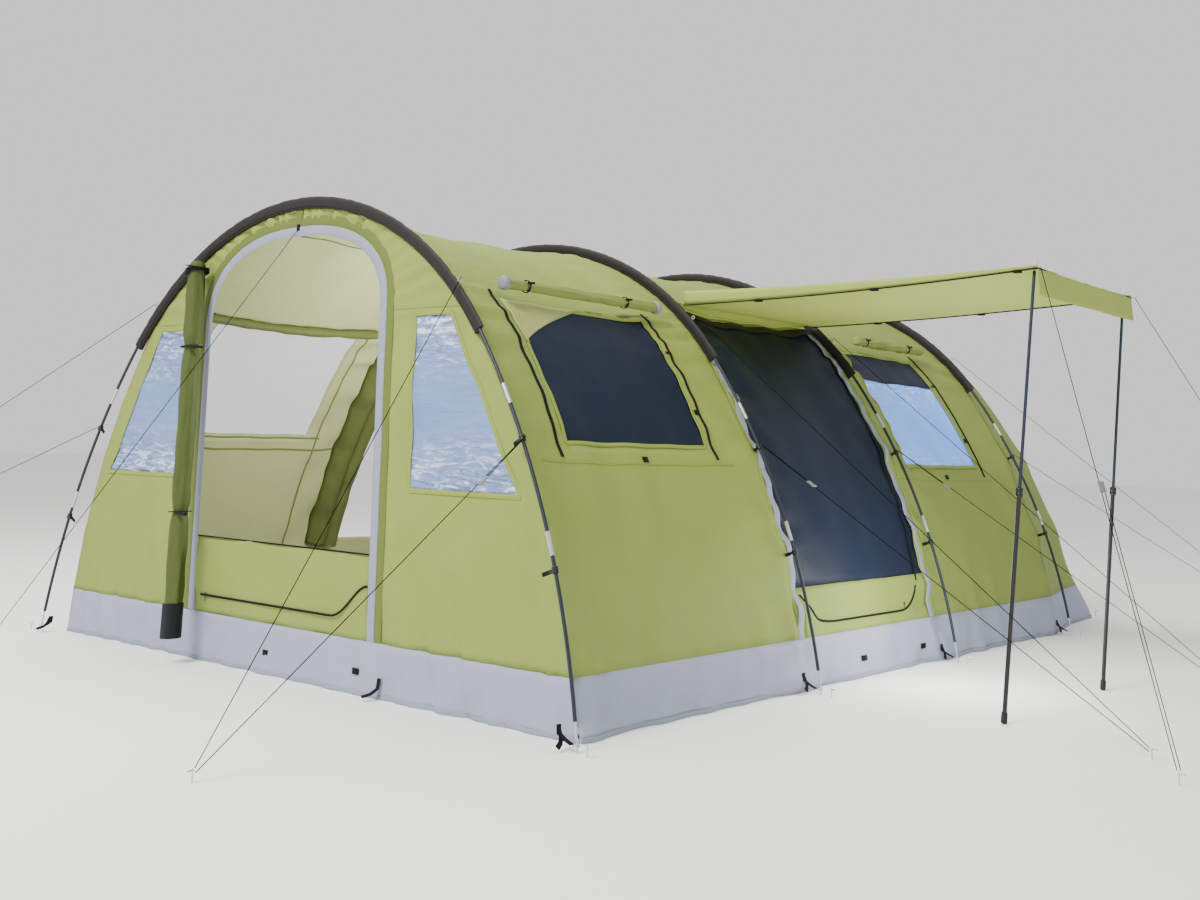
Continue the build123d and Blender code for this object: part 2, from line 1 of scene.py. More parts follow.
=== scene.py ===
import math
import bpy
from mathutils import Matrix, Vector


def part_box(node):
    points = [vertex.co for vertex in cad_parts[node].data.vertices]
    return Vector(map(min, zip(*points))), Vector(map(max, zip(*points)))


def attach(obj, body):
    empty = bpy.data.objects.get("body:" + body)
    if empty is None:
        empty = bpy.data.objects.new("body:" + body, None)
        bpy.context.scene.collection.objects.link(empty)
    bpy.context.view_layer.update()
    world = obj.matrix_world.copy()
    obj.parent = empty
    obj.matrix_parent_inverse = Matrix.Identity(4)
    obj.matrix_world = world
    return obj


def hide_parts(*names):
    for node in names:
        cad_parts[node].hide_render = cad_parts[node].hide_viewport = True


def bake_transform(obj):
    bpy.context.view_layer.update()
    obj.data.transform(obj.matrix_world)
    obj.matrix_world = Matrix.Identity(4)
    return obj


bl_info = {
    "name": "Tunnel tent looks",
    "version": (1, 0, 0),
    "blender": (4, 5, 0),
    "location": "View3D > Sidebar > Tent",
    "description": "Cloth, windows, cords and fittings of a tunnel tent, built round its CAD frame",
    "category": "Object",
}

import bpy
import numpy as np
from mathutils import Matrix, Vector

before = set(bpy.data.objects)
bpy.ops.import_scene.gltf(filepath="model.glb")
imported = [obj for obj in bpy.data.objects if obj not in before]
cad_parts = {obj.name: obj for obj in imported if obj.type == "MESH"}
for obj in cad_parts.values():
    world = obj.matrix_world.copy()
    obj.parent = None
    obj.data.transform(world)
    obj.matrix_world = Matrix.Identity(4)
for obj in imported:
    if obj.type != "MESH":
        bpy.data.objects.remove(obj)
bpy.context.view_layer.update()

# ---- the tent's driving sizes, in metres and degrees, as in the part ----
HOOP_H = 2.150
R_TOP = 1.680
BREAK = 52.3
R_SIDE = 3.230
HOOP_Y = (0.0, 1.590, 2.930, 4.480)
SLEEVE_END = 50.7
FOOT_ANGLE = 81.49
FLY_GAP = 0.030
FLY_GAP_FOOT = 0.090
SEAM = 38.0
WIN_TOP = 43.0
WIN_LOW = 60.9
WIN_LOW_REAR = 62.2
DOOR_LOW = 73.1
SKIRT_TOP = 77.2
SKIRT_LOW = 81.22
STRAP_ANGLE = 80.3
FRONT_Y = 0.014
FRONT_LEAN = 0.086
FRONT_BREAK = 1.600
TAIL = 1.000
TAIL_TAPER = 0.14
DOOR_HALF = 0.710
DOOR_SPRING = 1.600
DOOR_RISE = 0.435
DOOR_POWER = 2.4
TRIM_W = 0.048
SILL_H = 0.570
FRONT_WIN_LOW = 0.845
FRONT_WIN_TOP = 1.580
FRONT_WIN_IN = 0.900
FRONT_WIN_OUT_TOP = 1.130
FRONT_WIN_OUT_LOW = 1.560
WIN_FRONT = (0.325, 1.265)
WIN_REAR = (3.120, 4.020)
SIDE_DOOR = (1.650, 2.870)
CABIN_Y = 3.050
CANOPY_OUT = 2.995
CANOPY_Z = 1.865
CANOPY_Y = (1.640, 2.880)
CANOPY_Y_OUT = (1.700, 2.850)
EYELET_IN = 0.028
POLE_FOOT = (-0.145, -0.112)
CORD_D = 0.0035
CLOTH_T = 0.0012
FILM_T = 0.0006
TAPE_T = 0.0015
TAPE_LIFT = 0.0012
HEM_T = 0.0016
SKIRT_FLOOR = 0.0020
CLIP_Z = (1.070, 0.600)
PEGS = {"front_right": (1.404, -1.133), "front_left": (-2.500, -1.600), "door": (-0.645, -0.965),
        "second": (3.480, 1.433), "third": (3.357, 2.976), "rear": (3.198, 5.183),
        "canopy_near": (3.677, 1.112), "canopy_far": (3.800, 3.800)}
# each pair of guys: its arch, its side, and its runner's place as a share of the low guy
GUYS = (("front_right", 0, 1, 0.16), ("front_left", 0, -1, 0.23), ("second", 1, 1, 0.16),
        ("third", 2, 1, 0.17), ("rear", 3, 1, 0.12))
TENT_SIDE = (1, -1)
CRINKLE = 0.035 * 6
SHARP = 50
ORIGIN_Y = 2.260
CROWN_Z = HOOP_H - R_TOP
SIDE_X = (R_TOP - R_SIDE) * math.sin(math.radians(BREAK))
SIDE_Z = CROWN_Z + (R_TOP - R_SIDE) * math.cos(math.radians(BREAK))


class TentColours(bpy.types.PropertyGroup):
    """Dye and coating colours, as sRGB hex; the lining's pale colour is painted light coming through the cloth,
    and the mesh's deep navy is partly painted shade of the dark inside.
    """

    fly: bpy.props.StringProperty(name="Fly", description="Outer face of the fly", default="8c9d4d")
    # The lining's pale colour is painted light: daylight coming through the cloth, set into the colour.
    lining: bpy.props.StringProperty(
        name="Lining", description="Coated inner face of the fly", default="c4c896")
    skirt: bpy.props.StringProperty(name="Skirt", description="Skirt round the foot", default="989cb0")
    sleeve: bpy.props.StringProperty(name="Sleeve", description="Pole sleeves", default="1f1e1c")
    # The mesh colour is partly the net's own navy and partly painted shade of the dark inside behind it.
    mesh: bpy.props.StringProperty(name="Mesh", description="Insect mesh", default="07152a")
    floor: bpy.props.StringProperty(name="Ground", description="Floor of the stage", default="f4f4f2")


class TentSizes(bpy.types.PropertyGroup):
    """How the cloth hangs between its supports."""

    bay_sag: bpy.props.FloatProperty(
        name="Bay sag", description="How far the fly dips between two arches", default=0.040, unit="LENGTH")
    crease: bpy.props.FloatProperty(
        name="Crease depth", description="Depth of the tension folds", default=0.0060, unit="LENGTH")
    canopy_sag: bpy.props.FloatProperty(
        name="Canopy sag", description="How far the canopy dips in its middle", default=0.045, unit="LENGTH")


def sizes():
    """The sizes a user would change."""
    return bpy.context.scene.tent_sizes


def colours():
    """The colours a user would change."""
    return bpy.context.scene.tent_colours


def placed(p):
    """A point or points measured from the front arch, moved to the frame's origin."""
    return np.asarray(p, float) - np.array([0.0, ORIGIN_Y, 0.0])


def spot(p):
    """One point, moved to the frame's origin, as plain numbers."""
    return tuple(float(c) for c in placed(p))


def cad_box(name):
    """The corners of a CAD node, measured from the front arch."""
    return [np.asarray(c, float) + np.array([0.0, ORIGIN_Y, 0.0]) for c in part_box(name)]


# ------------------------------------------------------------------ geometry
def arch(angle, gap=0.0):
    """x and z on the right half of an arch at angles from vertical: two tangent circles, shrunk by gap."""
    a = np.radians(angle)
    top = np.asarray(angle) <= BREAK
    x = np.where(top, (R_TOP - gap) * np.sin(a), SIDE_X + (R_SIDE - gap) * np.sin(a))
    z = np.where(top, CROWN_Z + (R_TOP - gap) * np.cos(a), SIDE_Z + (R_SIDE - gap) * np.cos(a))
    return x, z


def fly_gap(angle):
    """Gap between arch and fly: constant under the sleeve, then growing evenly to the foot."""
    share = np.clip((np.asarray(angle, float) - SLEEVE_END) / (FOOT_ANGLE - SLEEVE_END), 0, 1)
    return FLY_GAP + (FLY_GAP_FOOT - FLY_GAP) * share


def ramp(x, low, high):
    """Smooth step from 0 at low to 1 at high."""
    t = np.clip((np.asarray(x, float) - low) / (high - low), 0, 1)
    return t * t * (3 - 2 * t)


def bump(x, centre, width):
    """Bell curve of height 1."""
    return np.exp(-((np.asarray(x, float) - centre) / width) ** 2)


def ripple(u, v, seed, waves, count=7):
    """Sum of sines in fixed random directions, of wavelengths between the two in waves, about -1 to 1."""
    rng = np.random.default_rng(seed)
    out = np.zeros(np.broadcast(u, v).shape)
    for _ in range(count):
        turn = rng.uniform(0, math.pi)
        length = rng.uniform(*waves)
        out = out + np.sin(2 * math.pi * (u * math.cos(turn) + v * math.sin(turn)) / length
                           + rng.uniform(0, 2 * math.pi))
    return out / count ** 0.5


def wall_y(z):
    """Y of the front wall, which leans back below its break."""
    return FRONT_Y + np.maximum(0.0, FRONT_BREAK - np.asarray(z, float)) / FRONT_BREAK * FRONT_LEAN


def wall_front(angle):
    """Y at which the fly meets the front wall, a hair behind it, at angles from vertical."""
    a = np.abs(angle)
    return wall_y(arch(a, fly_gap(a))[1]) + 0.0025


def bay_share(y):
    """Which bay a Y lies in, as its share from 0 to 1 across the bay."""
    y = np.asarray(y, float)
    t = np.zeros_like(y)
    for y0, y1 in zip(HOOP_Y, HOOP_Y[1:]):
        inside = (y >= y0) & (y <= y1)
        t = np.where(inside, (y - y0) / (y1 - y0), t)
    return t


def fly_point(s, y, lift=0.0):
    """A point on the fly at signed angle s and length y, pushed outwards by lift.

    The arch's line, less the gap, less a parabola's sag across each bay that is deepest on the
    roof, plus folds that fan from the arches and die out in the middle of a bay."""
    s, y = np.broadcast_arrays(np.asarray(s, float), np.asarray(y, float))
    a = np.abs(s)
    t = bay_share(y)
    across = 4 * t * (1 - t)
    sag = sizes().bay_sag * across * (1 - 0.55 * ramp(a, 30, 76))
    edge = (1 - ramp(np.minimum(t, 1 - t), 0.02, 0.34)) * ramp(np.minimum(t, 1 - t), 0.0, 0.03)
    along = np.radians(s) * 1.9
    fan = ripple(along * 1.0, y * 0.35, 11, (0.07, 0.20)) * edge
    long_fold = ripple(along * 0.35, y, 5, (0.25, 0.7)) * across
    clip_pull = sum(bump(a, c, 1.6) for c in (61.4, 70.4)) * np.exp(-np.minimum(t, 1 - t) * 18)
    lower = ramp(a, SLEEVE_END - 4, SLEEVE_END + 10)
    pleat = ripple(along * 0.25 + y, y * 0.6, 23, (0.12, 0.32)) * ramp(a, 70, 77) * 0.7
    depth = sizes().crease * (1.5 * fan * (0.9 + 0.3 * lower) + 0.9 * long_fold + pleat)
    gap = fly_gap(a) + sag - depth - 0.018 * clip_pull - lift
    x, z = arch(a, gap)
    return np.stack([np.sign(s) * x + (s == 0) * x, y, z], -1)


def fly_x(z):
    """Half width of the fly at heights, by reading its line as a table."""
    a = np.linspace(0, 89, 900)
    x, zz = arch(a, fly_gap(a))
    return np.interp(-np.asarray(z, float), -zz, x)


def angle_at(z):
    """Angle from vertical of the arch at a height."""
    a = np.linspace(0, 85, 1700)
    return float(np.interp(-z, -arch(a)[1], a))


def tail_share(z):
    """0 at the crown of the last arch and 1 at the ground."""
    return (2.120 - np.asarray(z, float)) / 2.120


def tail_point(s, v, lift=0.0):
    """A point of the tail's side: a straight line from the last arch to the leaning rear edge, dished."""
    s, v = np.broadcast_arrays(np.asarray(s, float), np.asarray(v, float))
    start = fly_point(s, np.full(s.shape, HOOP_Y[3]), lift)
    share = tail_share(start[..., 2])
    flare = 0.05 * ramp(np.abs(s), SKIRT_TOP - 3, SKIRT_LOW)
    end = np.stack([start[..., 0] * (1 - (TAIL_TAPER - flare) * share),
                    HOOP_Y[3] + 0.020 + share * TAIL, start[..., 2]], -1)
    p = start + (end - start) * v[..., None]
    dish = 0.030 * 4 * v * (1 - v) * share
    fold = sizes().crease * 1.4 * ripple(np.radians(s) * 2.2, v * 0.4, 31, (0.12, 0.4)) * 4 * v * (1 - v)
    a = np.radians(np.abs(s))
    out = np.stack([np.sign(s) * np.sin(a), 0 * a, np.cos(a)], -1)
    return p - out * (dish - fold)[..., None]


def rear_point(u, angles):
    """Rows of the rear panel: straight lines between the tail's two rear edges, dished inwards."""
    right = tail_point(angles, np.ones(len(angles)))[:, None]
    left = tail_point(-angles, np.ones(len(angles)))[:, None]
    w = ((u + 1) / 2)[None, :, None]
    p = left * (1 - w) + right * w
    share = tail_share(p[..., 2])
    dish = 0.05 * (1 - u ** 2) * np.clip(4 * share * (1 - share), 0, 1)
    fold = sizes().crease * 1.5 * ripple(p[..., 0], p[..., 2], 41, (0.15, 0.5)) * (1 - u ** 2)
    p[..., 1] += fold - dish
    return p


def wall_point(x, z, lift=0.0):
    """A point of the front wall: its leaning plane with folds that fan from the door and the corners."""
    x, z = np.broadcast_arrays(np.asarray(x, float), np.asarray(z, float))
    edge = np.clip(fly_x(np.clip(z, 0.05, 2.11)) - np.abs(x), 0, 1)
    inside = np.clip(np.abs(x) - DOOR_HALF, 0, 1)
    free = ramp(np.minimum(edge, inside), 0.0, 0.12)
    fan = ripple(x * 1.0 + 0.25 * z, z * 0.22, 51, (0.06, 0.22)) * np.exp(-np.clip(z - 0.25, 0, 2) * 2.2)
    soft = ripple(x, z, 57, (0.2, 0.6))
    turn = np.arctan2(z - 1.45, x)
    rays = ripple(turn * 1.3, 0 * x, 59, (0.07, 0.20), 9) * ramp(z, 1.5, 1.75)
    outside = (np.abs(x) / DOOR_HALF) ** DOOR_POWER + (np.clip(z - DOOR_SPRING, 0, 1) / DOOR_RISE) ** DOOR_POWER
    gather = ramp(edge, 0.0, 0.05) * ramp(outside, 1.08, 1.35)
    y = wall_y(z) - lift - sizes().crease * ((1.5 * fan + 0.8 * soft) * free + 1.6 * rays * gather)
    return np.stack([x, y, z], -1)


def door_arch(t, inset=0.0):
    """x and z on the right half of the door's arch: a superellipse, t 0 at its springing and 1 at its crown."""
    a = np.radians(90.0 * np.asarray(t, float))
    x = (DOOR_HALF - inset) * np.clip(np.cos(a), 0, 1) ** (2 / DOOR_POWER)
    z = DOOR_SPRING + (DOOR_RISE - inset) * np.sin(a) ** (2 / DOOR_POWER)
    return x, z


def door_line(z_low, inset, lift, n=60):
    """A line on the front wall up one post of the door, over its arch and down, drawn in by inset."""
    x, z = door_arch(np.linspace(0, 1, n), inset)
    post = np.linspace(z_low + 0.005, DOOR_SPRING - 0.01, n)
    px = np.concatenate([np.full(n, DOOR_HALF - inset), x, -x[::-1][1:], np.full(n, inset - DOOR_HALF)])
    pz = np.concatenate([post, z, z[::-1][1:], post[::-1]])
    return wall_point(px, pz, lift)


def steps(breaks, counts):
    """Values through the breaks, with so many steps between each two."""
    parts = [np.linspace(a, b, n, endpoint=False) for a, b, n in zip(breaks, breaks[1:], counts)]
    return np.concatenate(parts + [np.array([breaks[-1]], float)])


def columns(edges, counts):
    """A grid's second coordinate, row by row, through edge curves with so many steps between each two."""
    out = []
    for low, high, n in zip(edges, edges[1:], counts):
        t = np.linspace(0, 1, n, endpoint=False)
        out.append(low[:, None] + (high - low)[:, None] * t)
    out.append(edges[-1][:, None])
    return np.concatenate(out, 1)


# ------------------------------------------------------------------ meshes
def grid_faces(rows, cols, keep=None):
    """Quads of a grid, less those that keep marks False."""
    i = np.arange((rows - 1) * (cols - 1))
    r, c = i // (cols - 1), i % (cols - 1)
    if keep is not None:
        chosen = keep.reshape(-1)
        r, c = r[chosen], c[chosen]
    a = r * cols + c
    return np.stack([a, a + cols, a + cols + 1, a + 1], -1)


def bare_mesh(name, points, faces, uvs):
    """A mesh from points, faces and each point's flat coordinates."""
    mesh = bpy.data.meshes.new(name)
    mesh.from_pydata(placed(points).tolist(), [], faces)
    layer = mesh.uv_layers.new(name="cloth")
    loops = np.empty(len(mesh.loops), np.int32)
    mesh.loops.foreach_get("vertex_index", loops)
    layer.data.foreach_set("uv", uvs[loops].astype(np.float32).reshape(-1))
    return mesh


def make(name, parts, body, materials, thick=0.0, weld=0.0004):
    """One sheet from grids of points, each with the cells it keeps if it has holes, welded together."""
    points, faces, uvs, at = [], [], [], 0
    for grid, *keep in parts:
        faces += (grid_faces(*grid.shape[:2], *keep) + at).tolist()
        points.append(grid.reshape(-1, 3))
        uvs.append(grid_uv(grid).reshape(-1, 2))
        at += len(points[-1])
    mesh = bare_mesh(name, np.concatenate(points), faces, np.concatenate(uvs))
    mesh.polygons.foreach_set("use_smooth", [True] * len(mesh.polygons))
    obj = bpy.data.objects.new(name, mesh)
    bpy.context.scene.collection.objects.link(obj)
    for m in materials:
        mesh.materials.append(m)
    obj.modifiers.new("weld", "WELD").merge_threshold = weld
    if thick:
        shell = obj.modifiers.new("cloth", "SOLIDIFY")
        shell.thickness = thick
        shell.offset = -1.0
        shell.use_even_offset = False
        if len(materials) > 1:
            shell.material_offset = 1
    if body:
        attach(obj, body)
    return obj


def grid_uv(p):
    """A grid's own flat coordinates in metres: distances run along its rows and columns."""
    du = np.linalg.norm(np.diff(p, axis=0), axis=2).mean(1)
    dv = np.linalg.norm(np.diff(p, axis=1), axis=2).mean(0)
    u = np.concatenate([[0], np.cumsum(du)])
    v = np.concatenate([[0], np.cumsum(dv)])
    return np.stack(np.meshgrid(u, v, indexing="ij"), -1)


def frames(path, up=None):
    """Tangent and two cross directions along a path; up steers the first cross direction."""
    p = np.asarray(path, float)
    t = np.gradient(p, axis=0)
    t /= np.linalg.norm(t, axis=1)[:, None] + 1e-12
    if up is None:
        ref = np.tile([0.0, 0.0, 1.0], (len(p), 1))
        flat = np.abs(t[:, 2]) > 0.93
        if flat.mean() > 0.3:
            ref = np.tile([0.0, 1.0, 0.0], (len(p), 1))
    else:
        ref = np.broadcast_to(np.asarray(up, float), p.shape)
    n = ref - (ref * t).sum(1)[:, None] * t
    n /= np.linalg.norm(n, axis=1)[:, None] + 1e-12
    return t, n, np.cross(t, n)


def capped(ring, first, last, length, around):
    """A closed piece from rings of points, shut at each end by a fan of triangles round a middle point."""
    m, k = ring.shape[:2]
    points = np.concatenate([ring.reshape(-1, 3), [first], [last]])
    i, j = np.meshgrid(np.arange(m - 1), np.arange(k), indexing="ij")
    a, b = (i * k + j).ravel(), (i * k + (j + 1) % k).ravel()
    here = np.arange(k)
    after = (here + 1) % k
    faces = np.stack([a, b, b + k, a + k], -1).tolist()
    faces += np.stack([np.full(k, m * k), after, here], -1).tolist()
    faces += np.stack([np.full(k, m * k + 1), (m - 1) * k + here, (m - 1) * k + after], -1).tolist()
    uv = np.stack(np.meshgrid(length, around, indexing="ij"), -1).reshape(-1, 2)
    return points, faces, np.concatenate([uv, uv[:1], uv[-1:]])


def swept(path, profile, up=None, scale=None):
    """A profile of (across, up) points carried along a path, with flat ends."""
    p = np.asarray(path, float)
    t, n, b = frames(p, up)
    prof = np.asarray(profile, float)
    size = np.ones(len(p)) if scale is None else np.asarray(scale, float)
    ring = (p[:, None, :] + size[:, None, None] * (b[:, None, :] * prof[None, :, 0, None]
                                                   + n[:, None, :] * prof[None, :, 1, None]))
    length = np.concatenate([[0], np.cumsum(np.linalg.norm(np.diff(p, axis=0), axis=1))])
    around = np.concatenate([[0], np.cumsum(np.linalg.norm(np.diff(prof, axis=0), axis=1))])
    return capped(ring, p[0], p[-1], length, around)


def round_profile(radius, n=16):
    """Points on a circle."""
    a = np.linspace(0, 2 * np.pi, n, endpoint=False)
    return np.stack([radius * np.cos(a), radius * np.sin(a)], -1)


def tape_profile(width, thick):
    """A flat tape's section with softened corners."""
    w, h, c = width / 2, thick / 2, min(thick, width) * 0.25
    return np.array([(-w, -h + c), (-w + c, -h), (w - c, -h), (w, -h + c),
                     (w, h - c), (w - c, h), (-w + c, h), (-w, h - c)])


def solid(name, pieces, body, material):
    """One object from closed pieces, each points, faces and flat coordinates."""
    points, faces, uvs, at = [], [], [], 0
    for p, f, uv in pieces:
        points.append(p)
        faces += [[v + at for v in face] for face in f]
        uvs.append(uv)
        at += len(p)
    mesh = bare_mesh(name, np.concatenate(points), faces, np.concatenate(uvs))
    mesh.materials.append(material)
    mesh.shade_smooth()
    mesh.set_sharp_from_angle(angle=math.radians(SHARP))
    obj = bpy.data.objects.new(name, mesh)
    bpy.context.scene.collection.objects.link(obj)
    if body:
        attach(obj, body)
    return obj


def turned(start, end, stations, n=24):
    """A round piece along an axis: stations are (distance, radius) from the start."""
    a, b = np.asarray(start, float), np.asarray(end, float)
    d = (b - a) / np.linalg.norm(b - a)
    path = np.array([a + d * s for s, _ in stations])
    ref = np.array([0.0, 1.0, 0.0]) if abs(d[2]) > 0.8 else np.array([0.0, 0.0, 1.0])
    u = ref - d * (ref @ d)
    u /= np.linalg.norm(u)
    w = np.cross(d, u)
    ang = np.linspace(0, 2 * np.pi, n, endpoint=False)
    ring = np.array([p + r * (np.cos(ang)[:, None] * u + np.sin(ang)[:, None] * w)
                     for p, (_, r) in zip(path, stations)])
    return capped(ring, path[0], path[-1], np.array([s for s, _ in stations]), ang * 0.01)


def on_fly(s, y, lift):
    """Points and outward directions along a line on the fly."""
    s, y = np.asarray(s, float), np.asarray(y, float)
    p = fly_point(s, y, lift)
    q = fly_point(s, y, lift + 0.01)
    n = q - p
    return p, n / np.linalg.norm(n, axis=-1)[..., None]


def tape_on_fly(s, y, width, thick=TAPE_T, lift=TAPE_LIFT):
    """A tape sewn on the fly along a line of angles and lengths."""
    p, n = on_fly(s, y, lift)
    return swept(p, tape_profile(width, thick), n)


# ------------------------------------------------------------------ materials
def linear(code):
    """sRGB hex to linear RGBA."""
    c = [int(code[i:i + 2], 16) / 255 for i in (0, 2, 4)]
    return [v / 12.92 if v <= 0.04045 else ((v + 0.055) / 1.055) ** 2.4 for v in c] + [1.0]


def node(tree, kind, links=(), **values):
    """Adds a node, sets its properties and sockets, and links (socket, from node, its output)."""
    n = tree.nodes.new(kind)
    for key, value in values.items():
        if key.startswith("_"):
            setattr(n, key[1:], value)
        else:
            n.inputs[key.replace("__", " ")].default_value = value
    for socket, source, output in links:
        tree.links.new(source.outputs[output], n.inputs[socket])
    return n


MATERIALS = {}


def new_tree(name):
    """An empty node tree in a new material, and its coordinates."""
    mat = bpy.data.materials.new(name)
    mat.use_nodes = True
    mat.node_tree.nodes.clear()
    MATERIALS[name] = mat
    return mat.node_tree, node(mat.node_tree, "ShaderNodeTexCoord")


def tones(code, dark, pale):
    """A colour darkened and brightened by two factors, as the ends of a blend."""
    base = linear(code)[:3]
    return [v * dark for v in base] + [1.0], [min(1.0, v * pale) for v in base] + [1.0]


def cloth_material(name, code, weave=0.0016, rough=0.62, glow=0.0, shift=0.10, crinkle=0.35):
    """Woven cloth: a plain weave and soft crinkles in relief, and faint patches of shade.

    The eye gets matt cloth that isn't quite flat or even, with a glow where light comes through. The
    weave is drawn coarser than its threads, which are too fine to show at this distance."""
    if name in MATERIALS:
        return MATERIALS[name]
    tree, coord = new_tree(name)
    uv = node(tree, "ShaderNodeUVMap", _uv_map="cloth")
    patches = node(tree, "ShaderNodeTexNoise", [("Vector", coord, "Object")], Scale=2.3, Detail=5.0)
    fine = node(tree, "ShaderNodeTexNoise", [("Vector", coord, "Object")], Scale=38.0, Detail=3.0)
    mix = node(tree, "ShaderNodeMix", [("Factor", patches, "Fac")], _data_type="RGBA")
    mix.inputs[6].default_value, mix.inputs[7].default_value = tones(code, 1 - shift, 1 + shift)
    speck = node(tree, "ShaderNodeMix", [("Factor", fine, "Fac")], _data_type="RGBA", _blend_type="SOFT_LIGHT")
    tree.links.new(mix.outputs[2], speck.inputs[6])
    speck.inputs[7].default_value = (0.55, 0.55, 0.55, 1)
    warp, weft = (node(tree, "ShaderNodeTexWave", [("Vector", uv, "UV")], _bands_direction=way,
                       Scale=1.0 / weave / 20.0) for way in "XY")
    threads = node(tree, "ShaderNodeMath", [(0, warp, "Fac"), (1, weft, "Fac")], _operation="MULTIPLY")
    folds = node(tree, "ShaderNodeTexNoise", [("Vector", coord, "Object")], Scale=1 / CRINKLE, Detail=4.0,
                 Roughness=0.55, Distortion=0.8)
    relief = node(tree, "ShaderNodeBump", [("Height", threads, "Value")], Strength=0.12, Distance=0.0004)
    relief2 = node(tree, "ShaderNodeBump", [("Height", folds, "Fac"), ("Normal", relief, "Normal")],
                   Strength=crinkle, Distance=0.012)
    shader = node(tree, "ShaderNodeBsdfPrincipled", [("Base Color", speck, 2), ("Normal", relief2, "Normal")])
    shader.inputs["Roughness"].default_value = rough
    shader.inputs["Specular IOR Level"].default_value = 0.22
    out = node(tree, "ShaderNodeOutputMaterial")
    if glow:
        through = node(tree, "ShaderNodeBsdfTranslucent", [("Color", speck, 2), ("Normal", relief2, "Normal")])
        both = node(tree, "ShaderNodeMixShader", [(1, shader, 0), (2, through, 0)])
        both.inputs[0].default_value = glow
        tree.links.new(both.outputs[0], out.inputs["Surface"])
    else:
        tree.links.new(shader.outputs[0], out.inputs["Surface"])
    return MATERIALS[name]


def netting():
    """Polyester insect netting over the dark inside, drawn as an opaque sheet: the eye gets deep navy with a
    soft bloom; the navy is partly the net's own colour and partly painted shade of the dark inside seen through
    it.
    """
    return cloth_material("polyester_netting_navy_painted_inner_shade", colours().mesh, weave=0.0014, rough=0.55, shift=0.22,
                          crinkle=0.25)


def hard_material(name, code, metallic=0.0, rough=0.4, grain=420.0, depth=0.05):
    """Moulded plastic or metal: the eye gets fine grain in relief and slightly uneven gloss."""
    if name in MATERIALS:
        return MATERIALS[name]
    tree, coord = new_tree(name)
    noise = node(tree, "ShaderNodeTexNoise", [("Vector", coord, "Object")], Scale=grain, Detail=4.0)
    blotch = node(tree, "ShaderNodeTexNoise", [("Vector", coord, "Object")], Scale=14.0, Detail=3.0)
    gloss = node(tree, "ShaderNodeMapRange", [("Value", blotch, "Fac")])
    gloss.inputs["To Min"].default_value = rough * 0.8
    gloss.inputs["To Max"].default_value = min(1.0, rough * 1.25)
    tint = node(tree, "ShaderNodeMix", [("Factor", blotch, "Fac")], _data_type="RGBA")
    tint.inputs[6].default_value, tint.inputs[7].default_value = tones(code, 0.88, 1.1)
    relief = node(tree, "ShaderNodeBump", [("Height", noise, "Fac")], Strength=depth, Distance=0.0004)
    shader = node(tree, "ShaderNodeBsdfPrincipled", [("Base Color", tint, 2), ("Roughness", gloss, "Result"),
                                                     ("Normal", relief, "Normal")])
    shader.inputs["Metallic"].default_value = metallic
    node(tree, "ShaderNodeOutputMaterial", [("Surface", shader, 0)])
    return MATERIALS[name]


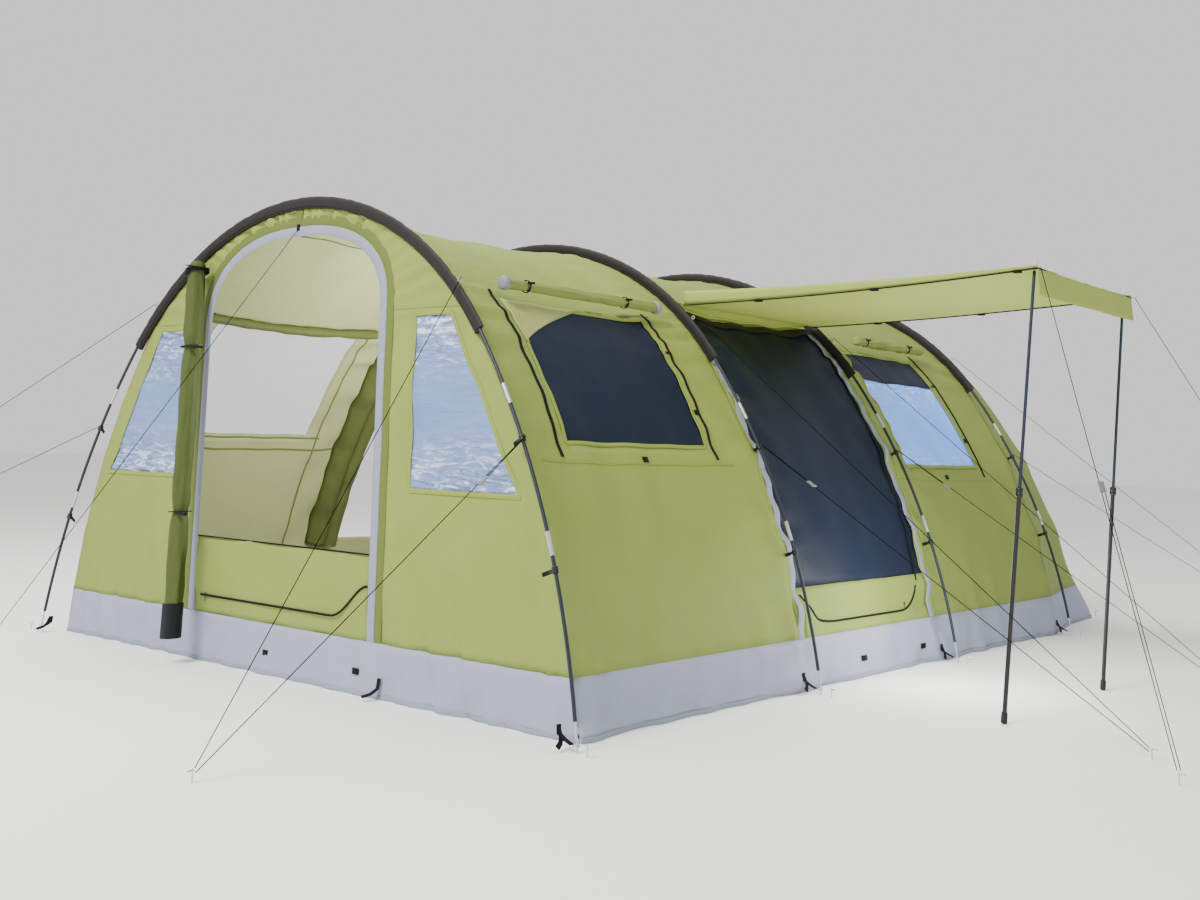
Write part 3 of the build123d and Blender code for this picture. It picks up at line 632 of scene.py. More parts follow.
def film_material(name, dark, pale, alpha, crumple_and_reflection=1.0, sky=0.0):
    """Clear PVC film, which was folded, with painted reflections: its blend of two blues is a painted
    reflection of a blue sky, with white painted highlights and brown painted reflections in its dips.

    The painted highlights and brown reflections gather near the window's top and bottom. Sky sets a blue
    emission, a painted reflection of the blue that a bright sky would lend the film, which the white studio
    can't."""
    if name in MATERIALS:
        return MATERIALS[name]
    tree, coord = new_tree(name)
    broad = node(tree, "ShaderNodeTexNoise", [("Vector", coord, "Object")], Scale=2.2, Detail=4.0,
                 Distortion=0.6)
    # The two blues and their blend are a painted reflection of a blue sky.
    tone = node(tree, "ShaderNodeMix", [("Factor", broad, "Fac")], _data_type="RGBA")
    tone.inputs[6].default_value, tone.inputs[7].default_value = linear(dark), linear(pale)
    place = node(tree, "ShaderNodeMapping", [("Vector", coord, "Object")])
    place.inputs["Rotation"].default_value = (0.0, math.radians(-12), 0.0)
    place.inputs["Scale"].default_value = (1.0, 1.0, 4.5)
    crumple = node(tree, "ShaderNodeTexNoise", [("Vector", place, "Vector")], Scale=7.0, Detail=8.0,
                   Roughness=0.66, Distortion=1.4)
    # Bands near the window's top and bottom, where the painted highlights and brown painted reflections gather.
    height = node(tree, "ShaderNodeSeparateXYZ", [("Vector", coord, "Object")])
    upper = node(tree, "ShaderNodeMapRange", [("Value", height, "Z")], From__Min=1.28, From__Max=1.58)
    lower = node(tree, "ShaderNodeMapRange", [("Value", height, "Z")], From__Min=1.10, From__Max=0.84)
    reflection_bands = node(tree, "ShaderNodeMath", [(0, upper, "Result"), (1, lower, "Result")], _operation="MAXIMUM")
    # White painted highlights on the crumple's ridges.
    highlight_mask = node(tree, "ShaderNodeMapRange", [("Value", crumple, "Fac")], From__Min=0.52, From__Max=0.60)
    white = node(tree, "ShaderNodeMath", [(0, highlight_mask, "Result"), (1, reflection_bands, "Value")], _operation="MULTIPLY")
    glint = node(tree, "ShaderNodeMix", [("Factor", white, "Value"), (6, tone, 2)], _data_type="RGBA")
    glint.inputs[7].default_value = linear("f2f5fb")
    # Brown painted reflections in the crumple's dips, scaled by the film's crumple setting.
    dip_reflection_mask = node(tree, "ShaderNodeMapRange", [("Value", crumple, "Fac")], From__Min=0.46, From__Max=0.39)
    brown = node(tree, "ShaderNodeMath", [(0, dip_reflection_mask, "Result"), (1, reflection_bands, "Value")], _operation="MULTIPLY")
    dim = node(tree, "ShaderNodeMath", [(0, brown, "Value")], _operation="MULTIPLY")
    dim.inputs[1].default_value = min(1.0, crumple_and_reflection)
    sharp = node(tree, "ShaderNodeMix", [("Factor", dim, "Value"), (6, glint, 2)], _data_type="RGBA")
    sharp.inputs[7].default_value = linear("5a5450")
    relief = node(tree, "ShaderNodeBump", [("Height", crumple, "Fac")], Strength=0.8 * crumple_and_reflection, Distance=0.02)
    shader = node(tree, "ShaderNodeBsdfPrincipled", [("Base Color", sharp, 2), ("Normal", relief, "Normal")])
    shader.inputs["Roughness"].default_value = 0.22
    shader.inputs["Specular IOR Level"].default_value = 0.35
    shader.inputs["Alpha"].default_value = alpha
    shader.inputs["Coat Weight"].default_value = 0.10
    # A blue glow on a film that is no lamp: a painted reflection of a bright sky.
    shader.inputs["Emission Color"].default_value = linear("3f8dff")
    shader.inputs["Emission Strength"].default_value = sky
    node(tree, "ShaderNodeOutputMaterial", [("Surface", shader, 0)])
    return MATERIALS[name]


def cord_material(name, code):
    """Braided polyester cord: the eye gets a slanted braid, coarser than a real one."""
    tree, coord = new_tree(name)
    braid = node(tree, "ShaderNodeTexWave", [("Vector", coord, "Object")], _bands_direction="DIAGONAL",
                 Scale=60.0, Distortion=1.5)
    tint = node(tree, "ShaderNodeMix", [("Factor", braid, "Fac")], _data_type="RGBA")
    tint.inputs[6].default_value, tint.inputs[7].default_value = tones(code, 0.7, 1.3)
    relief = node(tree, "ShaderNodeBump", [("Height", braid, "Fac")], Strength=0.5, Distance=0.0005)
    shader = node(tree, "ShaderNodeBsdfPrincipled", [("Base Color", tint, 2), ("Normal", relief, "Normal")])
    shader.inputs["Roughness"].default_value = 0.9
    shader.inputs["Specular IOR Level"].default_value = 0.1
    node(tree, "ShaderNodeOutputMaterial", [("Surface", shader, 0)])
    return MATERIALS[name]


def fly_cloth():
    """Polyurethane-coated polyester taffeta, dyed: matt, faintly crisp, lets some light through."""
    return cloth_material("coated_polyester_green", colours().fly, glow=0.22)


def inner_face_cloth_painted_glow():
    """The same cloth's coated inner face, smoother; its paler colour is painted light, daylight coming through
    the cloth.
    """
    return cloth_material("coated_polyester_inner_face_painted_glow", colours().lining, glow=0.34, rough=0.5, shift=0.05)


def skirt_cloth():
    """Coated polyester skirt, plain grey."""
    return cloth_material("coated_polyester_grey", colours().skirt, glow=0.05, shift=0.06)


def trim_cloth():
    """Polyester binding, grey."""
    return cloth_material("polyester_binding_grey", "868b9c", shift=0.08, crinkle=0.6)


def webbing():
    """Black polypropylene webbing."""
    return cloth_material("polypropylene_webbing_black", "06080b", weave=0.0028, rough=0.8, shift=0.2)


def clip_plastic():
    """Black acetal, moulded."""
    return hard_material("acetal_black", "07090c", rough=0.38)


# ------------------------------------------------------------------ cloth body
class TENT_OT_fly(bpy.types.Operator):
    """Builds the fly over the arches, bay by bay, with openings for windows and doors"""

    bl_idname = "tent.fly"
    bl_label = "Fly"

    def execute(self, context):
        mats = [fly_cloth(), inner_face_cloth_painted_glow()]
        for label, i, hole, counts in (("front", 0, WIN_FRONT, (12, 34, 14)),
                                       ("middle", 1, SIDE_DOOR, (4, 40, 4)),
                                       ("rear", 2, WIN_REAR, (8, 34, 16))):
            y0, y1 = HOOP_Y[i], HOOP_Y[i + 1]
            window = label != "middle"
            parts = []
            for side in TENT_SIDE:
                low = WIN_LOW_REAR if i == 2 else WIN_LOW
                breaks = (0, SEAM, WIN_TOP, low, DOOR_LOW, SKIRT_TOP)
                s = side * steps(breaks, (34, 6, 22, 14, 6))
                start = wall_front(s) if i == 0 else np.full(s.shape, y0)
                middle = np.abs(s[:-1] + s[1:]) / 2
                band = (middle > WIN_TOP) & (middle < low) if window else middle > SEAM
                edges = [start] + [np.full(s.shape, e) for e in (*hole, y1)]
                y = columns(edges, counts)
                keep = np.ones((len(s) - 1, y.shape[1] - 1), bool)
                keep[np.ix_(band, np.arange(counts[0], counts[0] + counts[1]))] = False
                p = fly_point(s[:, None], y)
                if side < 0:
                    p, keep = p[::-1], keep[::-1]
                parts.append((p, keep))
            fly = make(f"fly_cloth_{label}", parts, "tent", mats, thick=CLOTH_T)
            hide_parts(f"fly_{label}_bay")
        s = steps((-SKIRT_TOP, 0, SKIRT_TOP), (60, 60))
        v = np.linspace(0, 1, 16)
        side = tail_point(s[:, None], v[None, :])
        rear = rear_point(np.linspace(-1, 1, 50), s[60:])
        tail = make("fly_cloth_tail", [(side,), (rear[:, ::-1],)], "tent", mats, thick=0.0012, weld=0.004)
        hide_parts("fly_tail")
        return {"FINISHED"}


class TENT_OT_front_wall(bpy.types.Operator):
    """Builds the front wall round the door's arch and the two clear windows"""

    bl_idname = "tent.front_wall"
    bl_label = "Front wall"

    def execute(self, context):
        mats = [fly_cloth(), inner_face_cloth_painted_glow()]
        parts, panes, seams = [], [], []
        z_low = float(arch(SKIRT_TOP, fly_gap(SKIRT_TOP))[1])
        angles = np.linspace(0, 80, 800)
        spring = float(np.interp(-DOOR_SPRING, -arch(angles, FLY_GAP)[1], angles))
        for side in TENT_SIDE:
            t = np.linspace(0, 1, 121)
            inner = np.stack(door_arch(t), -1)
            outer = np.stack(arch(spring * (1 - t), fly_gap(spring * (1 - t))), -1)
            w = np.linspace(0, 1, 9)
            xz = inner[:, None] + (outer - inner)[:, None] * w[None, :, None]
            p = wall_point(side * xz[..., 0], xz[..., 1])
            parts.append((p if side > 0 else p[::-1],))
            z = steps((DOOR_SPRING, FRONT_WIN_TOP, FRONT_WIN_LOW, z_low), (1, 26, 22))
            lean = np.clip((FRONT_WIN_TOP - z) / (FRONT_WIN_TOP - FRONT_WIN_LOW), 0, 1)
            out = FRONT_WIN_OUT_TOP + lean * (FRONT_WIN_OUT_LOW - FRONT_WIN_OUT_TOP)
            edges = [np.full(z.shape, DOOR_HALF), np.full(z.shape, FRONT_WIN_IN), out, fly_x(z)]
            counts = (8, 22, 8)
            x = columns(edges, counts)
            mid = (z[:-1] + z[1:]) / 2
            band = (mid < FRONT_WIN_TOP) & (mid > FRONT_WIN_LOW)
            keep = np.ones((len(z) - 1, x.shape[1] - 1), bool)
            keep[np.ix_(band, np.arange(8, 30))] = False
            p = wall_point(side * x, z[:, None])
            parts.append((p[:, ::-1], keep[:, ::-1]) if side > 0 else (p, keep))
            rows = (z <= FRONT_WIN_TOP + 1e-6) & (z >= FRONT_WIN_LOW - 1e-6)
            zi, xi = z[rows], x[rows][:, 8:31]
            crumple = 0.004 * ripple(xi, np.broadcast_to(zi[:, None], xi.shape) * 0.5, 61, (0.05, 0.18))
            pane = wall_point(side * xi, zi[:, None])
            pane[..., 1] += 0.0015 + crumple * 0.6
            panes.append((pane[:, ::-1] if side > 0 else pane,))
            corners = ((FRONT_WIN_IN, FRONT_WIN_TOP), (FRONT_WIN_OUT_TOP, FRONT_WIN_TOP),
                       (FRONT_WIN_OUT_LOW, FRONT_WIN_LOW), (FRONT_WIN_IN, FRONT_WIN_LOW))
            k = np.linspace(0, 1, 24)
            for a, b in zip(corners, corners[1:] + corners[:1]):
                path = wall_point(side * (a[0] + (b[0] - a[0]) * k), a[1] + (b[1] - a[1]) * k, HEM_T)
                seams.append(swept(path, tape_profile(0.020, HEM_T), (0, -1, 0)))
        wall = make("front_wall_cloth", parts, "tent", mats, thick=CLOTH_T)
        flip_outward(wall, (0, -1, 0))
        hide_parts("front_wall")
        # The front windows' blue film is a painted reflection of a blue sky, with white painted highlights and
        # brown painted reflections.
        film = film_material("pvc_film_clear_painted_reflections", "6480bb", "8ca5d2", 0.90, crumple_and_reflection=0.8)
        glass = make("front_window_film", panes, "tent", [film], thick=0.0008)
        flip_outward(glass, (0, -1, 0))
        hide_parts("front_windows")
        hem = cloth_material("coated_polyester_hem", "7f8c3c", shift=0.06)
        tape = solid("front_window_hems", seams, "tent", hem)
        return {"FINISHED"}


def flip_outward(obj, way):
    """Turns a sheet's faces so that they look the given way on average."""
    mesh = obj.data
    normals = np.empty(len(mesh.polygons) * 3)
    mesh.polygons.foreach_get("normal", normals)
    if (normals.reshape(-1, 3) @ np.asarray(way, float)).sum() < 0:
        mesh.flip_normals()


def above_ground(p):
    """The same points, with none lower than a hair above the ground."""
    p[..., 2] = np.maximum(p[..., 2], SKIRT_FLOOR)
    return p


class TENT_OT_skirt(bpy.types.Operator):
    """Builds the grey skirt round the foot, with its hem and hook tabs"""

    bl_idname = "tent.skirt"
    bl_label = "Skirt"

    def execute(self, context):
        grey = skirt_cloth()
        parts, hems = [], []
        hem_profile = tape_profile(0.018, 0.003)
        z_top = float(arch(SKIRT_TOP, fly_gap(SKIRT_TOP))[1])
        z_low = float(arch(SKIRT_LOW, fly_gap(SKIRT_LOW))[1])
        for side in TENT_SIDE:
            a = np.linspace(SKIRT_TOP, SKIRT_LOW, 9)
            y = columns([wall_front(a)] + [np.full(9, hoop) for hoop in HOOP_Y[1:]], (60, 50, 60))
            wave = 0.007 * ripple(y, a[:, None] * 0.06, 71, (0.12, 0.5)) * ((a - SKIRT_TOP) / 3.4)[:, None]
            p = above_ground(fly_point(side * a[:, None], y) + np.stack([side * wave, 0 * wave, 0 * wave], -1))
            q = above_ground(tail_point(side * a[:, None], np.linspace(0, 1, 24)[None, :]))
            for sheet in (p, q):
                parts.append((sheet if side > 0 else sheet[::-1],))
                hems.append(swept(sheet[-1] + (0, 0, 0.008), hem_profile, (side, 0, 0)))
        z = np.linspace(z_top, z_low, 9)
        u = np.linspace(-1, 1, 120)
        x = fly_x(z)[:, None] * u
        front = above_ground(wall_point(x, z[:, None]))
        down = ((z_top - z) / (z_top - z_low))[:, None]
        front[..., 1] -= 0.006 * ripple(x, z[:, None], 73, (0.15, 0.6)) * down
        parts.append((front[::-1],))
        hems.append(swept(front[-1] + (0, -0.001, 0.008), hem_profile, (0, -1, 0)))
        rear = above_ground(rear_point(u, np.linspace(SKIRT_TOP, SKIRT_LOW, 9)))
        parts.append((rear[:, ::-1],))
        hems.append(swept(rear[-1] + (0, 0.001, 0.008), hem_profile, (0, 1, 0)))
        skirt = make("skirt_cloth", parts, "tent", [grey], thick=0.0012, weld=0.004)
        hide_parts("mud_skirt")
        hem = solid("skirt_hem", hems, "tent", trim_cloth())
        tabs = []
        for x in (-0.05, 0.60):
            path = wall_point(np.full(2, x), np.array([z_low + 0.105, z_low + 0.080]), 0.004)
            tabs.append(swept(path, tape_profile(0.042, 0.004), (0, -1, 0)))
        for y in (2.16, 2.76):
            path, n = on_fly(np.array([STRAP_ANGLE - 0.9, STRAP_ANGLE - 0.45]), np.full(2, y), 0.004)
            tabs.append(swept(path, tape_profile(0.05, 0.004), n))
        tab = solid("skirt_hook_tabs", tabs, "tent", webbing())
        return {"FINISHED"}


class TENT_OT_windows(bpy.types.Operator):
    """Builds the side windows of mesh and film with their frames and zips"""

    bl_idname = "tent.windows"
    bl_label = "Side windows"

    def execute(self, context):
        net = netting()
        # The blue film and its blue glow are a painted reflection of a bright sky, with white painted
        # highlights.
        film = film_material("pvc_film_painted_sky_reflection", "4f9aff", "8cc2ff", 0.97, crumple_and_reflection=0.12, sky=0.3)
        frame_cloth = cloth_material("coated_polyester_window_frame", "7f8c3c", shift=0.05)
        nets, films, clears, frames_, zips = [], [], [], [], []
        for side in TENT_SIDE:
            for y0, y1, rear in ((*WIN_FRONT, False), (*WIN_REAR, True)):
                low = WIN_LOW_REAR if rear else WIN_LOW
                s = side * steps((WIN_TOP, 51.4, low), (12, 18))
                y = columns([np.full(s.shape, y0), np.full(s.shape, y1)], (34,))
                p = fly_point(s[:, None], y, -0.001)
                if side < 0:
                    p = p[::-1]
                if rear:
                    cut = 13
                    first = p[:cut] if side > 0 else p[-cut:]
                    second = p[cut - 1:] if side > 0 else p[:len(s) - cut + 1]
                    (nets if side > 0 else clears).append((first,))
                    (films if side > 0 else clears).append((second,))
                else:
                    (nets if side > 0 else clears).append((p,))
                for sa, sb, ya, yb in ((WIN_TOP, WIN_TOP, y0, y1), (low, low, y0, y1),
                                       (WIN_TOP, low, y0, y0), (WIN_TOP, low, y1, y1)):
                    k = np.linspace(0, 1, 40)
                    frames_.append(tape_on_fly(side * (sa + (sb - sa) * k), ya + (yb - ya) * k, 0.018))
                for yz in ((y0 - 0.055, y1 + 0.045) if not rear else (y1 + 0.06,)):
                    k = np.linspace(0, 1, 60)
                    zips.append(tape_on_fly(side * (SEAM + 3 + (low + 1.2 - SEAM - 3) * k), yz + 0 * k,
                                            0.015, 0.005, 0.003))
                for sz, yz in ((low + 1.0, (y0 + y1) / 2), (low - 3.5, y1 + 0.03), (50.5, y1 + 0.03)):
                    k = np.array([0.0, 1.0])
                    zips.append(tape_on_fly(side * (sz + 0.45 * k), yz + 0 * k, 0.036, 0.003, 0.004))
                k = np.linspace(0, 1, 60)
                frames_.append(tape_on_fly(side * (low + 1.6 + 0 * k), y0 - 0.20 + (y1 - y0 + 0.36) * k, 0.006,
                                           0.0015, 0.001))
        inner = []
        for side in TENT_SIDE:
            k = np.linspace(0, 1, 60)
            for sa, sb, ya, yb in ((WIN_LOW + 1.6, WIN_LOW + 1.6, 0.10, 1.56),
                                   (WIN_LOW + 0.2, WIN_LOW + 0.2, 0.10, 1.36),
                                   (WIN_TOP, SKIRT_TOP, 1.34, 1.34), (12.0, 12.0, 0.06, 1.5)):
                across, along = side * (sa + (sb - sa) * k), ya + (yb - ya) * k
                inner.append(tape_on_fly(across, along, 0.012, TAPE_T, -0.004))
        olive = cloth_material("polyester_tape_olive", "6d7243")
        solid("inner_seam_tapes", inner, "tent", olive)
        mesh = make("side_window_mesh", nets, "tent", [net], thick=FILM_T)
        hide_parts("side_windows")
        # The nearly clear film also carries white painted highlights and faint brown painted reflections.
        bare = film_material("pvc_film_bare_painted_glints", "e4e8ee", "ffffff", 0.16, crumple_and_reflection=0.2)
        clear = make("side_window_clear_film", clears, "tent", [bare], thick=FILM_T)
        # a pale corner of curtain hangs inside the front windows' upper front corner
        k = np.linspace(0, 1, 16)[:, None]
        j = np.linspace(0, 1, 12)[None, :]
        a0, a1 = WIN_TOP - 0.6, WIN_TOP + 9.0
        y0, y1 = WIN_FRONT[0] - 0.010, WIN_FRONT[0] + 0.50
        wide = (1 - k) ** 1.25
        corner = fly_point(a0 + (a1 - a0) * k, y0 + (y1 - y0) * wide * j, 0.003)
        wedge = make("side_window_inner_curtain", [(corner,)], "tent",
                     [cloth_material("coated_polyester_pale", "a4ab68", shift=0.06, glow=0.2)], thick=0.001)
        pane = make("side_window_film", films, "tent", [film], thick=FILM_T)
        solid("side_window_frames", frames_, "tent", frame_cloth)
        solid("side_window_zips", zips, "tent", webbing())
        return {"FINISHED"}


class TENT_OT_doors(bpy.types.Operator):
    """Builds the side door's mesh, trims, sills and zips, and the front door's trim, sill and zip"""

    bl_idname = "tent.doors"
    bl_label = "Doors"

    def execute(self, context):
        net = netting()
        mats = [fly_cloth(), inner_face_cloth_painted_glow()]
        s = steps((SEAM, DOOR_LOW), (44,))
        y = columns([np.full(s.shape, SIDE_DOOR[0]), np.full(s.shape, SIDE_DOOR[1])], (40,))
        panel = make("side_door_netting", [(fly_point(s[:, None], y, -0.002),)], "tent", [net], thick=FILM_T)
        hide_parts("side_door_mesh")
        sills, trims, zips = [], [], []
        for side in TENT_SIDE:
            s = side * steps((DOOR_LOW, SKIRT_TOP), (10,))
            y = columns([np.full(s.shape, SIDE_DOOR[0]), np.full(s.shape, SIDE_DOOR[1])], (40,))
            p = fly_point(s[:, None], y)
            sills.append((p if side > 0 else p[::-1],))
            k = np.linspace(0, 1, 80)
            for yy, inner in ((SIDE_DOOR[0] - 0.022, 1), (SIDE_DOOR[1] + 0.022, -1)):
                sk = side * (SEAM + 0.5 + (SKIRT_TOP - SEAM - 0.5) * k)
                wob = 0.006 * np.sin(k * 17 + inner) + 0.004 * np.sin(k * 31)
                trims.append(tape_on_fly(sk, yy + wob, 0.044, 0.002, 0.002))
            k = np.linspace(0, 1, 90)
            a0, a1 = DOOR_LOW + 0.6, 76.2
            lo, hi = SIDE_DOOR[0] + 0.03, SIDE_DOOR[1] - 0.10
            yk = lo + (hi - lo) * k
            dip = (1 - (1 - np.clip((yk - lo) / 0.30, 0, 1)) ** 2.6) ** 0.6 * (
                1 - (1 - np.clip((hi + 0.004 - yk) / 0.20, 0, 1)) ** 2.6) ** 0.6
            zips.append(tape_on_fly(side * (a0 + (a1 - a0) * dip), yk, 0.010, 0.004, 0.003))
            k = np.linspace(0, 1, 60)
            zips.append(tape_on_fly(side * (SEAM + 2 + (a0 - SEAM - 2) * k), hi + 0.02 + 0.075 * (1 - k) ** 0.5,
                                    0.010, 0.004, 0.003))
        sill = make("side_door_sill_cloth", sills, "tent", mats, thick=CLOTH_T)
        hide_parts("side_door_sills")
        trim = solid("side_door_trim_tape", trims, "tent", trim_cloth())
        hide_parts("side_door_trim")
        solid("side_door_zips", zips, "tent", webbing())
        # front door
        z_low = float(arch(SKIRT_TOP, fly_gap(SKIRT_TOP))[1])
        half = DOOR_HALF - TRIM_W
        zz = np.linspace(SILL_H, z_low, 14)
        xx = np.linspace(-half, half, 60)
        p = wall_point(xx[None, :], zz[:, None])
        p[..., 1] -= 0.005 * ripple(xx[None, :] + 0 * zz[:, None], zz[:, None] * 0.5, 81, (0.1, 0.4))
        front = make("front_door_sill_cloth", [(p[::-1],)], "tent", mats, thick=CLOTH_T)
        flip_outward(front, (0, -1, 0))
        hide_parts("front_door_sill")
        band = solid("front_door_trim_tape", [swept(door_line(z_low, TRIM_W / 2, 0.0022),
                                                    tape_profile(TRIM_W, 0.0026), (0, -1, 0))], "tent",
                     trim_cloth())
        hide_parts("front_door_trim")
        # The dark olive band round the outside of the door's trim is painted shade of the fold beside the trim,
        # drawn as a strip of cloth; the tapering patch over the door's crown takes the same dark colour.
        shade = cloth_material("coated_polyester_painted_fold_shade", "5d692f", shift=0.08, crinkle=0.8)
        patch = wall_point(np.zeros(8), np.linspace(2.112, 2.034, 8), 0.0032)
        flaps = [swept(door_line(z_low, -0.024, HEM_T), tape_profile(0.046, HEM_T), (0, -1, 0)),
                 swept(patch, tape_profile(0.060, 0.002), (0, -1, 0), scale=np.linspace(1.0, 0.35, 8))]
        solid("front_door_painted_shade_band", flaps, "tent", shade)
        tab = swept(wall_point(np.zeros(4), np.linspace(2.046, 2.016, 4), 0.0052), tape_profile(0.022, 0.004),
                    (0, -1, 0))
        solid("front_door_guy_tab", [tab], "tent", webbing())
        zx = np.linspace(-0.60, 0.66, 80)
        zk = 0.300 + 0.14 * ramp(zx, 0.40, 0.66) ** 1.3
        path = wall_point(zx, zk, 0.0075)
        edge = wall_point(np.linspace(-half, half, 50), np.full(50, SILL_H), 0.003)
        tapes = [swept(path, tape_profile(0.010, 0.004), (0, -1, 0)),
                 swept(edge, tape_profile(0.007, 0.003), (0, -1, 0))]
        solid("front_door_zip_tape", tapes, "tent", webbing())
        return {"FINISHED"}


class TENT_OT_sleeves(bpy.types.Operator):
    """Builds the cloth sleeves round the arches, flat tubes with stitched lower edges"""

    bl_idname = "tent.sleeves"
    bl_label = "Pole sleeves"

    def execute(self, context):
        dark = cloth_material("polyester_oxford_dark", colours().sleeve, weave=0.002, shift=0.18, crinkle=0.6)
        pieces = []
        for i, y in enumerate(HOOP_Y):
            s = np.linspace(-SLEEVE_END - 1.5, SLEEVE_END + 1.5, 220)
            x, z = arch(np.abs(s))
            path = np.stack([np.sign(s) * x, np.full(s.shape, y), z], -1)
            up = np.stack([np.sin(np.radians(s)), 0 * s, np.cos(np.radians(s))], -1)
            a = np.linspace(0, 2 * np.pi, 20, endpoint=False)
            w, h = 0.0105, 0.0245
            prof = np.stack([w * np.cos(a), h * np.sin(a)], -1)
            pucker = 1 + 0.05 * ripple(np.radians(s) * 1.7, 0 * s + i, 91 + i, (0.03, 0.12))
            pieces.append(swept(path, prof, up, pucker))
            web, wz = arch(np.abs(s), 0.0255)
            shift_y, wide = (0.007, 0.022) if i == 0 else (0.0, 0.008)
            line = np.stack([np.sign(s) * web, np.full(s.shape, y + shift_y), wz], -1)
            pieces.append(swept(line, tape_profile(wide, 0.013), up))
            for sign in (-1, 1):
                edge, ez = arch(np.abs(s), 0.022)
                line = np.stack([np.sign(s) * edge, np.full(s.shape, y + sign * 0.006), ez], -1)
                pieces.append(swept(line, round_profile(0.0022, 6)))
        sleeves = solid("pole_sleeve_cloth", pieces, "tent", dark)
        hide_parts("pole_sleeves")
        return {"FINISHED"}


def bundle(name, start, end, radius, seed, body, material, ties=(), squash=0.9, lumps=0.10, n=90):
    """A rolled bundle as one closed piece.

    Its radius varies by a share of seeded waves, has one groove and five faint folds that turn along
    it, and is drawn in at its ties, which are shares of its length."""
    start, end = np.asarray(start, float), np.asarray(end, float)
    p = start + (end - start) * np.linspace(0, 1, n)[:, None]
    a = np.linspace(0, 2 * np.pi, 40, endpoint=False)
    _, up, b = frames(p)
    along = np.linspace(0, np.linalg.norm(end - start), n)
    waves = ripple(along[:, None], a[None, :] * radius * 2.2, seed, (0.08, 0.35), 9)
    r = radius * (1 - lumps + lumps * waves * 0.5)
    r = r * (1 - 0.10 * np.clip(np.sin(a + 1.1), 0, 1) ** 8)[None, :]
    r = r * (1 + 0.04 * np.sin(a[None, :] * 5 + along[:, None] * 2.0))
    share = along / along[-1]
    for tie in ties:
        r = r * (1 - 0.20 * np.exp(-((share - tie) * along[-1] / 0.035) ** 2))[:, None]
    ends = 1 - 0.30 * (bump(share, 0, 0.008) + bump(share, 1, 0.008))
    r = r * ends[:, None]
    ring = p[:, None] + r[..., None] * (b[:, None] * np.cos(a)[None, :, None]
                                        + squash * up[:, None] * np.sin(a)[None, :, None])
    return solid(name, [capped(ring, p[0], p[-1], along, a * radius)], body, material)


def loop_round(centre, axis, radius, squash=1.0, n=40):
    """A closed ring of points round an axis."""
    d = np.asarray(axis, float) / np.linalg.norm(axis)
    ref = np.array([0.0, 0.0, 1.0]) if abs(d[2]) < 0.8 else np.array([1.0, 0.0, 0.0])
    u = ref - d * (ref @ d)
    u /= np.linalg.norm(u)
    w = np.cross(d, u)
    a = np.linspace(0, 2 * np.pi, n + 1)
    return np.asarray(centre, float) + radius * (np.cos(a)[:, None] * u * squash + np.sin(a)[:, None] * w)


